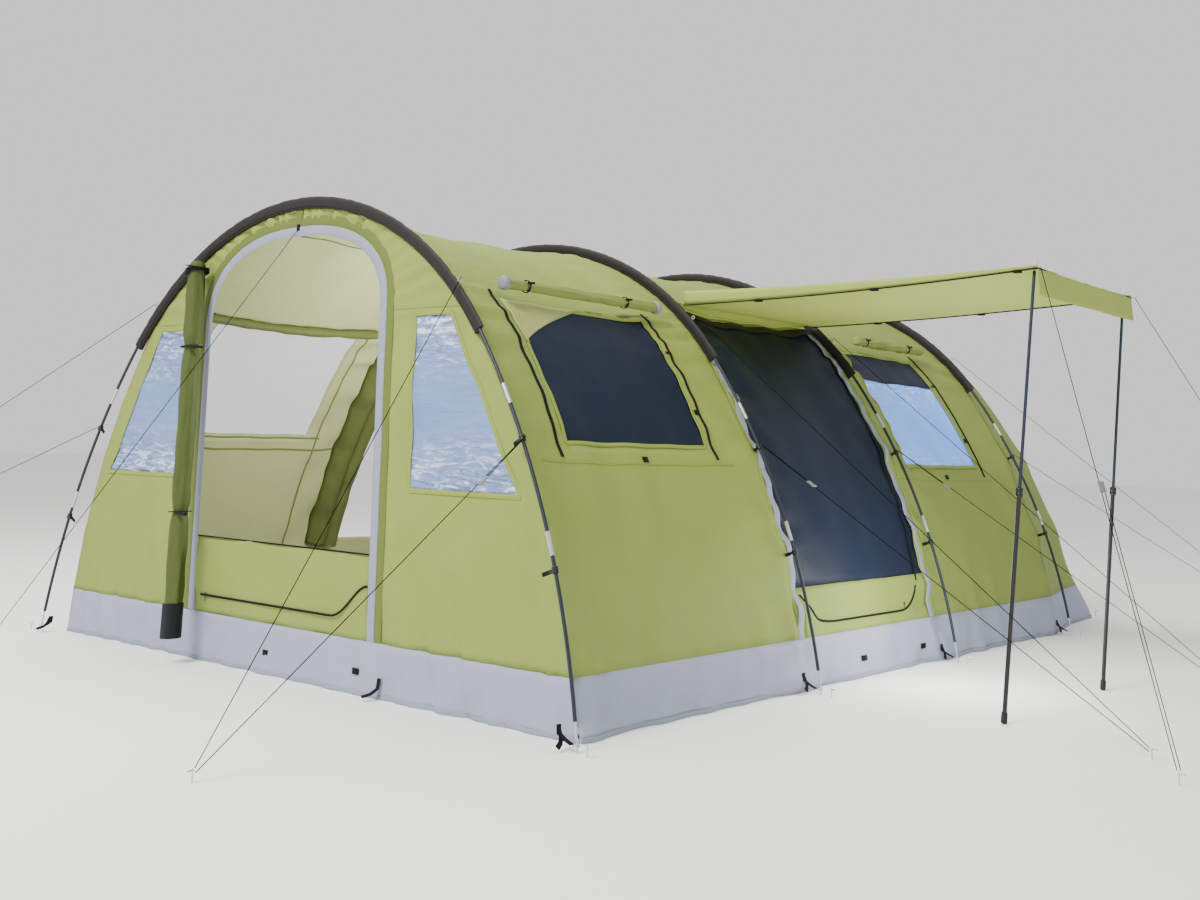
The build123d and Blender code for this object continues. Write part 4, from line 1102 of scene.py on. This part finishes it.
class TENT_OT_rolls(bpy.types.Operator):
    """Builds the rolled front door, the rolled window covers and the rolled left door, with ties"""

    bl_idname = "tent.rolls"
    bl_label = "Rolled doors and covers"

    def execute(self, context):
        # The rolled door's dark olive is partly its own cloth and partly painted shade of its folds and shaded
        # side.
        green = cloth_material("coated_polyester_rolled_painted_shade", "434e22", shift=0.16, crinkle=0.9, glow=0.04)
        start, end = np.array((-0.725, -0.064, 1.905)), np.array((-0.575, -0.068, 0.112))
        door = bundle("front_door_bundle", start, end, 0.051, 101, "front_door", green, ties=(0.24, 0.68))
        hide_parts("front_door_roll")
        dark = cloth_material("mud_flap_charcoal", "0e1013", shift=0.2)
        d = (end - start) / np.linalg.norm(end - start)
        flap = bundle("front_door_bundle_foot", end - d * 0.16, end, 0.0535, 103, "front_door", dark,
                      lumps=0.04)
        ties = []
        for share in (0.24, 0.68):
            c = start + (end - start) * share
            ties.append(swept(loop_round(c, d, 0.047, 0.92), tape_profile(0.018, 0.004), None))
            bar = np.array([c + (0.035, -0.045, 0.0), c + (0.135, -0.050, -0.006)])
            ties.append(swept(bar, round_profile(0.0075, 10), (0, 0, 1)))
        top = start + d * 0.025
        for k in range(3):
            tilt = d + np.array([0.25 * (k - 1), 0.0, 0.0])
            ties.append(swept(loop_round(top + d * 0.016 * k, tilt, 0.049, 0.92), tape_profile(0.022, 0.005)))
        solid("front_door_bundle_ties", ties, "front_door", webbing())
        cx, cz = arch(SEAM + 3.5, FLY_GAP - 0.042)
        cap = hard_material("polyamide_cap_grey", "7f838a", rough=0.5)
        covers = cloth_material("coated_polyester_cover_roll", "7c8b44", shift=0.14, crinkle=0.9, glow=0.05)
        for side, label in ((1, "right"), (-1, "left")):
            for place, y0, y1, thick, lumps in (("front", 0.300, 1.380, 0.0295, 0.12),
                                                ("rear", 3.300, 4.160, 0.040, 0.20)):
                body = f"cover_{label}_{place}"
                roll = bundle(f"window_cover_bundle_{label}_{place}", (side * cx, y0 + 0.012, cz),
                              (side * cx, y1 - 0.012, cz), thick, 111 + len(place) + side, body, covers,
                              ties=(0.14, 0.76), squash=0.94, lumps=lumps)
                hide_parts(f"window_cover_{label}_{place}")
                if place == "front":
                    caps = [turned((side * cx, y, cz), (side * cx, y + way, cz),
                                   ((0, 0.026), (0.004, 0.031), (0.026, 0.032), (0.032, 0.026)), 28)
                            for y, way in ((y0, 1), (y1, -1))]
                    solid(f"window_cover_ends_{label}_{place}", caps, body, cap)
                loops = []
                for share in (0.14, 0.76):
                    y = y0 + (y1 - y0) * share
                    ring = loop_round((side * cx, y, cz), (0, 1, 0), 0.0275)
                    bar = np.array([(side * (cx + 0.030), y - 0.018, cz + 0.012),
                                    (side * (cx + 0.030), y + 0.022, cz + 0.016)])
                    loops += [swept(ring, tape_profile(0.012, 0.003)), swept(bar, round_profile(0.0055, 10))]
                solid(f"window_cover_ties_{label}_{place}", loops, body, webbing())
        a = np.linspace(SEAM + 2, DOOR_LOW + 0.5, 90)
        x, z = arch(a, fly_gap(a) + 0.062)
        path = np.stack([-x, np.full(a.shape, HOOP_Y[1] + 0.062), z], -1)
        ang = np.linspace(0, 2 * np.pi, 28, endpoint=False)
        prof = np.stack([0.044 * np.cos(ang), 0.040 * np.sin(ang)], -1)
        share = np.linspace(0, 1, 90)
        size = 1 - 0.12 * bump(share, 0.35, 0.03) - 0.12 * bump(share, 0.8, 0.03)
        size = size * (1 + 0.05 * ripple(np.linspace(0, 1.6, 90), np.zeros(90), 121, (0.08, 0.3)))
        olive = cloth_material("coated_polyester_olive_shade", "555d31", shift=0.15, crinkle=0.9)
        left = solid("left_door_bundle", [swept(path, prof, None, size)], "tent", olive)
        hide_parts("left_door_roll")
        hang = np.linspace(0, 1, 8)[None, :]
        edge = fly_point(-a, np.full(a.shape, HOOP_Y[1] - 0.09), -0.004)[:, None]
        roll = (path + np.array([0.0, -0.030, 0.0]))[:, None]
        swell = np.stack([np.sin(np.radians(a)), 0 * a, -np.cos(np.radians(a))], -1)[:, None]
        bulge = (0.035 * 4 * hang * (1 - hang))[..., None]
        hang = hang[..., None]
        strip = make("left_door_strip", [(edge * (1 - hang) + roll * hang + swell * bulge,)], "tent", [olive],
                     thick=0.001)
        inner = []
        for side in TENT_SIDE:
            x, z = arch(WIN_TOP - 1.5, fly_gap(WIN_TOP) + 0.045)
            y = np.linspace(0.16, 1.36, 60)
            line = np.stack([np.full(60, side * x), y, z - 0.025 * np.sin(np.pi * (y - 0.16) / 1.2)], -1)
            size = 1 + 0.12 * ripple(y, 0 * y, 131, (0.1, 0.4))
            inner.append(swept(line, round_profile(0.026, 20), None, size))
        curtain = solid("window_curtain_rolls", inner, "tent", olive)
        return {"FINISHED"}


class TENT_OT_canopy(bpy.types.Operator):
    """Builds the canopy sheet, its edges, valance, root strip and telescopic poles"""

    bl_idname = "tent.canopy"
    bl_label = "Canopy"

    def execute(self, context):
        cloth = cloth_material("coated_polyester_canopy", "aebd62", glow=0.30, shift=0.06)
        # The underside's pale colour is painted light: light shining through the canopy, set into the colour on
        # top of its translucency.
        under = cloth_material("coated_polyester_canopy_under_painted_glow", "c7d178", glow=0.45, shift=0.05)
        hx, hz = arch(SEAM, FLY_GAP - 0.018)
        u = np.linspace(0, 1, 60)[:, None]
        v = np.linspace(0, 1, 40)[None, :]
        near = CANOPY_Y[0] + (CANOPY_Y_OUT[0] - CANOPY_Y[0]) * u
        far = CANOPY_Y[1] + (CANOPY_Y_OUT[1] - CANOPY_Y[1]) * u
        bow = 0.018 * 4 * u * (1 - u)
        y = near + bow + (far - bow - near - bow) * v
        x = hx + 0.055 + (CANOPY_OUT - hx - 0.055) * u + 0 * v - 0.02 * 4 * v * (1 - v) * u
        flat = hz + (CANOPY_Z - hz) * (x - hx) / (CANOPY_OUT - hx)
        sag = sizes().canopy_sag * (4 * u * (1 - u)) * (0.35 + 0.65 * 4 * v * (1 - v))
        pull = 0.004 * ripple(x * 0.4, y, 141, (0.12, 0.4)) * 4 * v * (1 - v)
        p = np.stack([x, y, flat - sag + pull * u], -1)
        sheet = make("canopy_cloth", [(p,)], "canopy", [cloth, under], thick=CLOTH_T)
        flip_outward(sheet, (0, 0, 1))
        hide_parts("canopy_panel")
        k = np.linspace(0, 1, 80)
        brown = cloth_material("polyester_oxford_brown", "2b2724", weave=0.002, shift=0.2, crinkle=0.6)
        gutter = [tape_on_fly(side * (SEAM + 1.3 + 0.25 * np.sin(k * 25)), 1.62 + 1.30 * k, 0.050, 0.003, 0.004)
                  for side in TENT_SIDE]
        solid("side_door_gutter", gutter, "tent", brown)
        # the root strip bends from the roof seam to the panel
        k = np.linspace(0, 1, 10)[:, None]
        yy = np.linspace(CANOPY_Y[0], CANOPY_Y[1], 40)[None, :]
        root = fly_point(np.full((1, 40), SEAM - 1.0), yy, 0.004)
        tip = np.stack([np.interp(yy[0], p[0][:, 1], p[0][:, 0]), yy[0],
                        np.interp(yy[0], p[0][:, 1], p[0][:, 2])], -1)[None]
        strip = root * (1 - k[..., None]) + tip * k[..., None]
        strip[..., 2] += 0.010 * 4 * k * (1 - k)
        join = make("canopy_root_strip", [(strip,)], None, [cloth, under], thick=CLOTH_T)
        flip_outward(join, (0, 0, 1))
        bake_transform(join)
        edges, flaps = [], []
        for col, way in ((0, -1), (-1, 1)):
            line = p[:, col] + np.array([0, way * 0.003, -0.004])
            edges.append(swept(line, tape_profile(0.012, 0.005), (0, 0, 1)))
            rise = (0.060 * (1 - np.linspace(0, 1, 60)) ** 0.8 + 0.010)[:, None]
            w = np.linspace(0, 1, 4)[None, :]
            flap = np.stack([p[:, col, 0][:, None] + 0 * w, p[:, col, 1][:, None] + way * 0.004 * w,
                             p[:, col, 2][:, None] + rise * w], -1)
            flaps.append((flap,))
        outer = p[-1] + np.array([0.002, 0, -0.003])
        edges.append(swept(outer, tape_profile(0.010, 0.005), (0, 0, 1)))
        for col in (0, -1):
            for share in (14, 34, 56):
                c = p[share, col]
                edges.append(swept(np.array([c + (-0.016, 0, -0.006), c + (0.016, 0, -0.006)]),
                                   tape_profile(0.034, 0.012), (0, 0, 1)))
        solid("canopy_zips", edges, "canopy", webbing())
        flap = make("canopy_side_flaps", flaps, "canopy", [cloth, under], thick=CLOTH_T)
        vv = np.linspace(0, 1, 40)[None, :]
        h = np.linspace(0, 1, 8)[:, None]
        vy = CANOPY_Y_OUT[0] + (CANOPY_Y_OUT[1] - CANOPY_Y_OUT[0]) * vv
        vx = CANOPY_OUT + 0.002 - 0.004 * 4 * vv * (1 - vv) + 0.004 * h * (1 + np.sin(vy * 14)) + 0 * h
        vz = CANOPY_Z + 0.001 - 0.122 * h - 0.006 * np.sin(np.pi * vv) * (1 - h)
        val = make("canopy_valance_cloth", [(np.stack([vx, vy + 0 * h, vz], -1),)], "canopy", [cloth, under],
                   thick=CLOTH_T)
        flip_outward(val, (1, 0, 0))
        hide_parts("canopy_valance")
        steel = hard_material("powder_coated_steel_navy", "101c33", rough=0.42, grain=60.0, depth=0.02)
        grey = hard_material("powder_coated_steel_black", "0d0f13", rough=0.42, grain=60.0, depth=0.02)
        rubber = hard_material("rubber_black", "16171a", rough=0.8, grain=300, depth=0.3)
        bright = hard_material("zinc_plated_steel", "c9ccd0", metallic=0.9, rough=0.28)
        slope = (CANOPY_Z - hz) / (CANOPY_OUT - hx - 0.004)
        for label, yt in (("near", CANOPY_Y_OUT[0] + EYELET_IN), ("far", CANOPY_Y_OUT[1] - EYELET_IN)):
            top = np.array((CANOPY_OUT - EYELET_IN, yt, CANOPY_Z - slope * EYELET_IN))
            foot = np.array((top[0] + POLE_FOOT[0], top[1] + POLE_FOOT[1], 0.0))
            length = np.linalg.norm(top - foot)
            d = (foot - top) / length
            upper = turned(top + d * 0.010, foot, ((0, 0.0055), (0.002, 0.0069), (0.010, 0.0071),
                                                   (length - 0.84, 0.0071)), 28)
            tube = solid(f"canopy_pole_upper_tube_{label}", [upper], f"pole_upper_{label}", steel)
            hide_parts(f"canopy_pole_upper_{label}")
            spike = turned(top - d * 0.036, foot, ((0, 0.0018), (0.004, 0.0028), (0.048, 0.003)), 16)
            solid(f"canopy_pole_spike_{label}", [spike], f"pole_upper_{label}", bright)
            ll = length - 0.93
            lower = turned(top + d * ll, foot, (
                (0, 0.0080), (0.001, 0.0093), (0.004, 0.0095), (0.90, 0.0095)), 28)
            body = f"pole_lower_{label}"
            solid(f"canopy_pole_lower_tube_{label}", [lower], body, grey)
            collar = turned(top + d * (ll - 0.006), foot, (
                (0, 0.0092), (0.001, 0.0135), (0.004, 0.0152), (0.016, 0.0155), (0.018, 0.0142),
                (0.022, 0.0142), (0.024, 0.0153), (0.036, 0.0148), (0.040, 0.0115)), 32)
            c = solid(f"canopy_pole_collar_{label}", [collar], body, clip_plastic())
            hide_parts(f"canopy_pole_lower_{label}")
            shoe = turned(foot - d * 0.045, foot, (
                (0, 0.0115), (0.002, 0.0128), (0.030, 0.0135), (0.040, 0.0130), (0.0436, 0.0105)), 28)
            solid(f"canopy_pole_foot_{label}", [shoe], body, rubber)
        return {"FINISHED"}


class TENT_OT_inside(bpy.types.Operator):
    """Builds the groundsheet and the sleeping cabin"""

    bl_idname = "tent.inside"
    bl_label = "Groundsheet and cabin"

    def execute(self, context):
        low, high = cad_box("groundsheet")
        tarp = cloth_material("coated_polyethylene_grey", "73767e", weave=0.003, rough=0.45, shift=0.12)
        x = np.linspace(-1, 1, 60)[None, :]
        y = np.linspace(low[1] + 0.035, high[1] - 0.040, 90)[:, None]
        half = high[0] - 0.040 - (high[0] - 1.602) * np.clip((y - HOOP_Y[3]) / (high[1] - HOOP_Y[3]), 0, 1)
        z = 0.0022 + 0.0006 * ripple(x * half, y + 0 * x, 151, (0.2, 0.8))
        ground = make("groundsheet_cloth", [(np.stack([x * half, y + 0 * x, z], -1),)], "tent", [tarp],
                      thick=CLOTH_T)
        flip_outward(ground, (0, 0, 1))
        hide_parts("groundsheet")
        cream = cloth_material("breathable_polyester_cream", "d8d4be", glow=0.3, shift=0.04, crinkle=0.7)
        s = np.linspace(-80, 80, 121)
        a = np.abs(s)
        x, z = arch(a, 0.150 + 0.180 * a / FOOT_ANGLE)
        back = HOOP_Y[3] + 0.020 + tail_share(z) * TAIL - 0.160
        v = np.linspace(0, 1, 30)
        y = (CABIN_Y + 0.0025) + (back[:, None] - CABIN_Y) * v
        fold = 0.008 * ripple(np.radians(s)[:, None] * 1.8, y, 161, (0.1, 0.5)) * np.sin(np.pi * v)
        px = (np.sign(s) * x)[:, None] * (1 - 0 * v) + np.sin(np.radians(s))[:, None] * fold
        pz = z[:, None] + np.cos(np.radians(s))[:, None] * fold
        shell = np.stack([px, y, pz], -1)
        u = np.linspace(-1, 1, 40)
        zz = z[60:]
        rear = np.stack([x[60:, None] * u, back[60:, None] + 0.0005 + 0 * u, zz[:, None] + 0 * u], -1)
        soft = 0.006 * ripple(x[60:, None] * u, zz[:, None] + 0 * u, 163, (0.1, 0.4))
        front = np.stack([x[60:, None] * u, CABIN_Y + soft, zz[:, None] + 0 * u], -1)
        mid = (front[:-1, :-1] + front[1:, 1:]) / 2
        keep = ~((np.abs(mid[..., 0]) < 0.60) & (mid[..., 2] < 1.55))
        cabin = make("cabin_cloth", [(shell,), (rear,), (front, keep)], "tent", [cream], thick=0.0010)
        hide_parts("cabin_walls")
        lo, hi = cad_box("cabin_floor")
        xx = np.linspace(lo[0] + 0.002, hi[0] - 0.002, 30)[None, :]
        yy = np.linspace(lo[1] + 0.002, hi[1] - 0.002, 30)[:, None]
        level = np.stack(np.broadcast_arrays(xx, yy, 0.0078), -1)
        bed = make("cabin_floor_cloth", [(level,)], "tent", [tarp], thick=CLOTH_T)
        flip_outward(bed, (0, 0, 1))
        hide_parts("cabin_floor")
        return {"FINISHED"}


class TENT_OT_fittings(bpy.types.Operator):
    """Builds clips, tabs, foot straps and sliders, and finishes the CAD's poles and pegs"""

    bl_idname = "tent.fittings"
    bl_label = "Fittings"

    def execute(self, context):
        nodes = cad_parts
        fibre = hard_material("glass_fibre_rod_navy", "0b1424", rough=0.5, grain=60.0, depth=0.02)
        ferrule = hard_material("zinc_plated_steel", "c9ccd0", metallic=0.9, rough=0.28)
        for mat, names in ((fibre, ("hoop_front", "hoop_second", "hoop_third", "hoop_rear")),
                           (ferrule, ("hoop_ferrules", "foot_pins", "guy_rings", "pegs"))):
            for name in names:
                nodes[name].data.materials.clear()
                nodes[name].data.materials.append(mat)
        clips, tabs = [], []
        for y in HOOP_Y:
            for side in TENT_SIDE:
                for h in CLIP_Z:
                    a = angle_at(h)
                    x, z = arch(a)
                    radial = np.array([side * math.sin(math.radians(a)), 0, math.cos(math.radians(a))])
                    tangent = np.array([side * math.cos(math.radians(a)), 0, -math.sin(math.radians(a))])
                    c = np.array([side * float(x), y, float(z)])
                    clips.append(turned(c - tangent * 0.013, c + tangent * 0.013, (
                        (0, 0.0085), (0.001, 0.0122), (0.004, 0.0132), (0.008, 0.0124), (0.018, 0.0124),
                        (0.022, 0.0132), (0.025, 0.0122), (0.026, 0.0085)), 24))
                    for off in (-0.006, 0.006):
                        prong = np.array([c - radial * 0.010 + (0, off, 0), c - radial * 0.026 + (0, off, 0)])
                        clips.append(swept(prong, tape_profile(0.005, 0.010), tangent))
                    end = float(fly_gap(a)) - 0.012
                    tabs.append(swept(np.array([c - radial * 0.022, c - radial * (end + 0.012)]),
                                      tape_profile(0.003, 0.016), tangent))
        clip = solid("pole_clip_bodies", clips, "tent", clip_plastic())
        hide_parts("pole_clips")
        solid("pole_clip_tabs", tabs, "tent", webbing())
        straps, rings = [], []
        fx = float(arch(angle_at(0.030))[0])
        hx, hz = arch(STRAP_ANGLE, fly_gap(STRAP_ANGLE))
        for y in HOOP_Y:
            for side in TENT_SIDE:
                path = np.array([(side * (hx + 0.003), y, hz + 0.030), (side * (hx + 0.005), y, hz),
                                 (side * (hx + 0.040), y, 0.034), (side * (fx - 0.022), y, 0.023)])
                straps.append(swept(path, tape_profile(0.024, 0.0022), (side * 0.6, 0, 0.8)))
                tail = np.array([(side * (hx + out), y - back, z) for out, back, z in (
                    (0.006, 0.004, hz + 0.02), (0.022, 0.006, 0.045),
                    (0.034, 0.02, 0.026), (0.048, 0.05, 0.016))])
                straps.append(swept(tail, tape_profile(0.020, 0.0020), (side * 0.8, 0, 0.6)))
                ring = loop_round((side * fx, y, 0.022), (0, 0, 1), 0.0125)
                rings.append(swept(ring, round_profile(0.0022, 8)))
        dangle = np.array([(x, wall_y(0.08) - out, z) for x, out, z in (
            (0.76, 0.006, 0.085), (0.76, 0.012, 0.045), (0.748, 0.035, 0.026), (0.735, 0.070, 0.017))])
        straps.append(swept(dangle, tape_profile(0.022, 0.0022), (0, -0.7, 0.7)))
        strap = solid("foot_strap_webbing", straps, "tent", webbing())
        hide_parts("foot_straps")
        ring = solid("foot_strap_rings", rings, "tent", ferrule)
        metal = hard_material("painted_zinc_slider", "24262b", metallic=0.4, rough=0.35)
        for name, body, out in (("front_door_slider", "front_slider", (0, -1.0, 0)),
                                ("side_door_slider", "side_slider", (1.0, 0, 0))):
            lo, hi = cad_box(name)
            c = (lo + hi) / 2
            top = c + (0, 0, 0.014)
            body_piece = swept(np.array([top + (0, 0, 0.006), top, top - (0, 0, 0.008)]),
                               tape_profile(0.010, 0.006), out, scale=(0.8, 1.0, 0.85))
            pull = swept(np.array([top + (0, 0, -0.002), c + (0, 0, -0.004), c + (0, 0, -0.019)]),
                         tape_profile(0.006, 0.002), out, scale=(0.8, 0.9, 1.2))
            s = solid(name + "_body", [body_piece, pull], body, metal)
            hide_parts(name)
        return {"FINISHED"}


# ------------------------------------------------------------------ cords
def cord_curve(name, points, diameter, body, material):
    """A cord as a quadratic NURBS curve through its route's control points."""
    curve = bpy.data.curves.new(name, "CURVE")
    curve.dimensions = "3D"
    curve.bevel_depth = diameter / 2
    curve.bevel_resolution = 3
    curve.use_fill_caps = True
    spline = curve.splines.new("NURBS")
    spline.points.add(len(points) - 1)
    spline.points.foreach_set("co", [c for p in points for c in (*spot(p), 1.0)])
    spline.order_u = 3
    spline.use_endpoint_u = True
    curve.materials.append(material)
    obj = bpy.data.objects.new(name, curve)
    bpy.context.scene.collection.objects.link(obj)
    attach(obj, body)
    return obj


def cut_back(start, end, cut):
    """The end of a line, moved back towards its start."""
    a, b = np.asarray(start, float), np.asarray(end, float)
    return b - (b - a) / np.linalg.norm(b - a) * cut


def sagging(start, end, sag=0.004):
    """Three points of a tight line: its ends, and a middle a hair low."""
    a, b = np.asarray(start, float), np.asarray(end, float)
    return [a, (a + b) / 2 - np.array([0, 0, sag]), b]


class TENT_OT_guys(bpy.types.Operator):
    """Builds the guy lines, their doubled strands and the runners on them"""

    bl_idname = "tent.guys"
    bl_label = "Guy lines"

    def execute(self, context):
        braid = cord_material("braided_polyester_cord", "030405")
        runner_mat = hard_material("polyamide_runner_grey", "6d706c", rough=0.42)
        a = SLEEVE_END - 7.0
        rx, rz = arch(a, -0.025 - 0.025)
        for name, hoop, side, _ in GUYS:
            start = np.array((side * float(rx), HOOP_Y[hoop], float(rz)))
            end = cut_back(start, (*PEGS[name], 0.030), 0.012)
            cord = cord_curve(f"guy_cord_{name}_high", sagging(start, end), CORD_D, "tent", braid)
            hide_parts(f"guy_{name}_high")
            self.hang(cord, start, end)
        cx, cz = arch(angle_at(CLIP_Z[0]), -0.018)
        for name, hoop, side, share in GUYS:
            start = np.array((side * float(cx), HOOP_Y[hoop], float(cz)))
            end = cut_back(start, (*PEGS[name], 0.018), 0.012)
            line = (end - start) / np.linalg.norm(end - start)
            across = np.cross(line, (0, 0, 1))
            across = across / np.linalg.norm(across) * (1 if across[0] * side > 0 else -1)
            middle = start + (end - start) * share
            cord = cord_curve(f"guy_cord_{name}_low", sagging(start, end, 0.0), CORD_D, "tent", braid)
            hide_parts(f"guy_{name}_low")
            self.hang(cord, start, end)
            tip = start + across * 0.0056
            back = middle + across * 0.014 - line * 0.025
            strand, path = self.straight(f"guy_strand_{name}", tip, back, 12, braid)
            self.runner(name, middle, line, across, runner_mat)
            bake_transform(strand)
            self.hang(strand, tip, back, path=path)
        start = np.array((0.0, FRONT_Y - 0.006, DOOR_SPRING + DOOR_RISE - 0.014))
        end = cut_back(start, (*PEGS["door"], 0.030), 0.012)
        cord = cord_curve("guy_cord_door_top", sagging(start, end), CORD_D, "tent", braid)
        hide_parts("guy_door_top")
        self.hang(cord, start, end)
        for name, y, way in (("near", CANOPY_Y_OUT[0] - 0.009, -1), ("far", CANOPY_Y_OUT[1] + 0.009, 1)):
            start = np.array((CANOPY_OUT + 0.016, y, CANOPY_Z - 0.002))
            aim = (*PEGS[f"canopy_{name}"], 0.022 if name == "near" else 0.030)
            end = cut_back(start, aim, 0.022 if name == "near" else 0.012)
            piece, path = self.straight(f"guy_cord_canopy_{name}", start, end, 40, braid)
            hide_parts(f"guy_canopy_{name}")
            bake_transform(piece)
            self.hang(piece, start, end, path=path)
            if name == "near":
                line = (end - start) / np.linalg.norm(end - start)
                across = np.cross(line, (0, 0, 1))
                across = across / np.linalg.norm(across) * (1 if across[0] > 0 else -1)
                middle = (start + end) / 2
                self.runner("canopy", middle, line, across, runner_mat)
                back = middle + across * 0.014 + line * 0.025
                tip = end + across * 0.014
                strand, path = self.straight("guy_strand_canopy", tip, back, 12, braid)
                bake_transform(strand)
                self.hang(strand, tip, back, path=path)
        return {"FINISHED"}

    def straight(self, name, start, end, count, material):
        """A cord stretched straight between two bodies, as a swept mesh, and its route."""
        path = [start + (end - start) * k for k in np.linspace(0, 1, count)]
        piece = solid(name, [swept(path, round_profile(CORD_D / 2, 10))], None, material)
        return piece, [spot(q) for q in path]

    def hang(self, piece, start, end, **route):
        """Does nothing: it takes a cord, its start, its end and its route, and reads none of them."""

    def runner(self, name, middle, line, across, material):
        """A moulded runner: a tapered bar along the cord with a rib round each end."""
        half = 0.0215
        c = middle + across * 0.007
        path = np.array([c - line * half, c - line * half * 0.8, c - line * half * 0.3, c + line * half * 0.3,
                         c + line * half * 0.8, c + line * half])
        w, h = 0.0150, 0.0042
        a = np.linspace(0, 2 * np.pi, 24, endpoint=False)
        prof = np.stack([size * np.sign(f) * np.abs(f) ** 0.6
                         for size, f in ((w, np.cos(a)), (h, np.sin(a)))], -1)
        up = np.cross(line, across)
        piece = solid(f"guy_runner_{name}", [swept(path, prof, up, (0.86, 1.0, 0.82, 0.82, 1.0, 0.86))],
                      f"runner_{name}", material)
        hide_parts(f"runner_{name}")


# ------------------------------------------------------------------ stage
class TENT_OT_stage(bpy.types.Operator):
    """Lays a plain pale floor and sets soft studio lights and the camera"""

    bl_idname = "tent.stage"
    bl_label = "Stage"

    def execute(self, context):
        scene = context.scene
        mesh = bpy.data.meshes.new("stage_floor")
        r = 60.0
        corners = [(x * r, y * r, -0.001) for x, y in ((-1, -1), (1, -1), (1, 1), (-1, 1))]
        mesh.from_pydata(corners, [], [(0, 1, 2, 3)])
        floor = bpy.data.objects.new("stage_floor", mesh)
        scene.collection.objects.link(floor)
        mat = bpy.data.materials.new("stage_paint")
        mat.use_nodes = True
        shader = mat.node_tree.nodes["Principled BSDF"]
        shader.inputs["Base Color"].default_value = linear(colours().floor)
        shader.inputs["Roughness"].default_value = 0.9
        mesh.materials.append(mat)
        world = bpy.data.worlds.new("studio")
        world.use_nodes = True
        world.node_tree.nodes["Background"].inputs[0].default_value = (1.0, 1.0, 1.0, 1)
        world.node_tree.nodes["Background"].inputs[1].default_value = 0.95
        scene.world = world
        for name, kind, place, power, size, warm in (
                ("key", "AREA", (1.0, -7.5, 9.0), 1900.0, 3.5, (1.0, 0.98, 0.93)),
                ("roof", "AREA", (-3.0, 1.0, 8.0), 450.0, 5.0, (1.0, 1.0, 1.0)),
                ("inside", "POINT", (0.1, 1.3, 1.35), 130.0, 0.35, (1.0, 0.99, 0.94)),
                ("under_canopy", "POINT", (2.3, 2.2, 0.5), 40.0, 0.4, (1.0, 1.0, 0.97))):
            lamp = bpy.data.lights.new(name, kind)
            lamp.energy, lamp.color = power, warm
            if kind == "AREA":
                lamp.size = size
            else:
                lamp.shadow_soft_size = size
            obj = bpy.data.objects.new(name, lamp)
            obj.visible_camera = False
            obj.location = spot(place)
            aim = Vector((0.3, 2.2, 0.6)) - Vector(place)
            obj.rotation_euler = aim.to_track_quat("-Z", "Y").to_euler()
            scene.collection.objects.link(obj)
        cam = bpy.data.cameras.new("camera")
        cam.sensor_width = 36.0
        cam.lens = 38.0
        cam.shift_x = -0.0723
        cam.shift_y = -0.2403
        cam.clip_end = 200
        obj = bpy.data.objects.new("camera", cam)
        yaw, pitch, roll = math.radians(38.54), math.radians(12.90), math.radians(1.73)
        ahead = Vector((-math.sin(yaw) * math.cos(pitch), math.cos(yaw) * math.cos(pitch), math.sin(pitch)))
        right = ahead.cross(Vector((0, 0, 1))).normalized()
        up = right.cross(ahead)
        right, up = right * math.cos(roll) + up * math.sin(roll), up * math.cos(roll) - right * math.sin(roll)
        turn = Matrix((right, up, -ahead)).transposed().to_4x4()
        obj.matrix_world = Matrix.Translation(spot((5.195, -3.537, 1.037))) @ turn
        scene.collection.objects.link(obj)
        scene.camera = obj
        return {"FINISHED"}


OPERATORS = (TENT_OT_fly, TENT_OT_front_wall, TENT_OT_skirt, TENT_OT_windows, TENT_OT_doors, TENT_OT_sleeves,
             TENT_OT_rolls, TENT_OT_canopy, TENT_OT_inside, TENT_OT_fittings, TENT_OT_guys, TENT_OT_stage)


class TENT_PT_panel(bpy.types.Panel):
    """Lists the tent's pieces and settings"""

    bl_idname = "TENT_PT_panel"
    bl_label = "Tent"
    bl_space_type = "VIEW_3D"
    bl_region_type = "UI"
    bl_category = "Tent"

    def draw(self, context):
        for group in (context.scene.tent_sizes, context.scene.tent_colours):
            for key in group.__annotations__:
                self.layout.prop(group, key)
        for op in OPERATORS:
            self.layout.operator(op.bl_idname)


CLASSES = (TentColours, TentSizes, *OPERATORS, TENT_PT_panel)


def register():
    """Registers the classes and the settings."""
    for cls in CLASSES:
        bpy.utils.register_class(cls)
    bpy.types.Scene.tent_colours = bpy.props.PointerProperty(type=TentColours)
    bpy.types.Scene.tent_sizes = bpy.props.PointerProperty(type=TentSizes)


def unregister():
    """Removes the classes and the settings."""
    del bpy.types.Scene.tent_sizes
    del bpy.types.Scene.tent_colours
    for cls in reversed(CLASSES):
        bpy.utils.unregister_class(cls)


def main():
    """Builds every piece."""
    register()
    for op in OPERATORS:
        getattr(bpy.ops.tent, op.bl_idname.split(".")[1])()


if __name__ == "__main__":
    main()
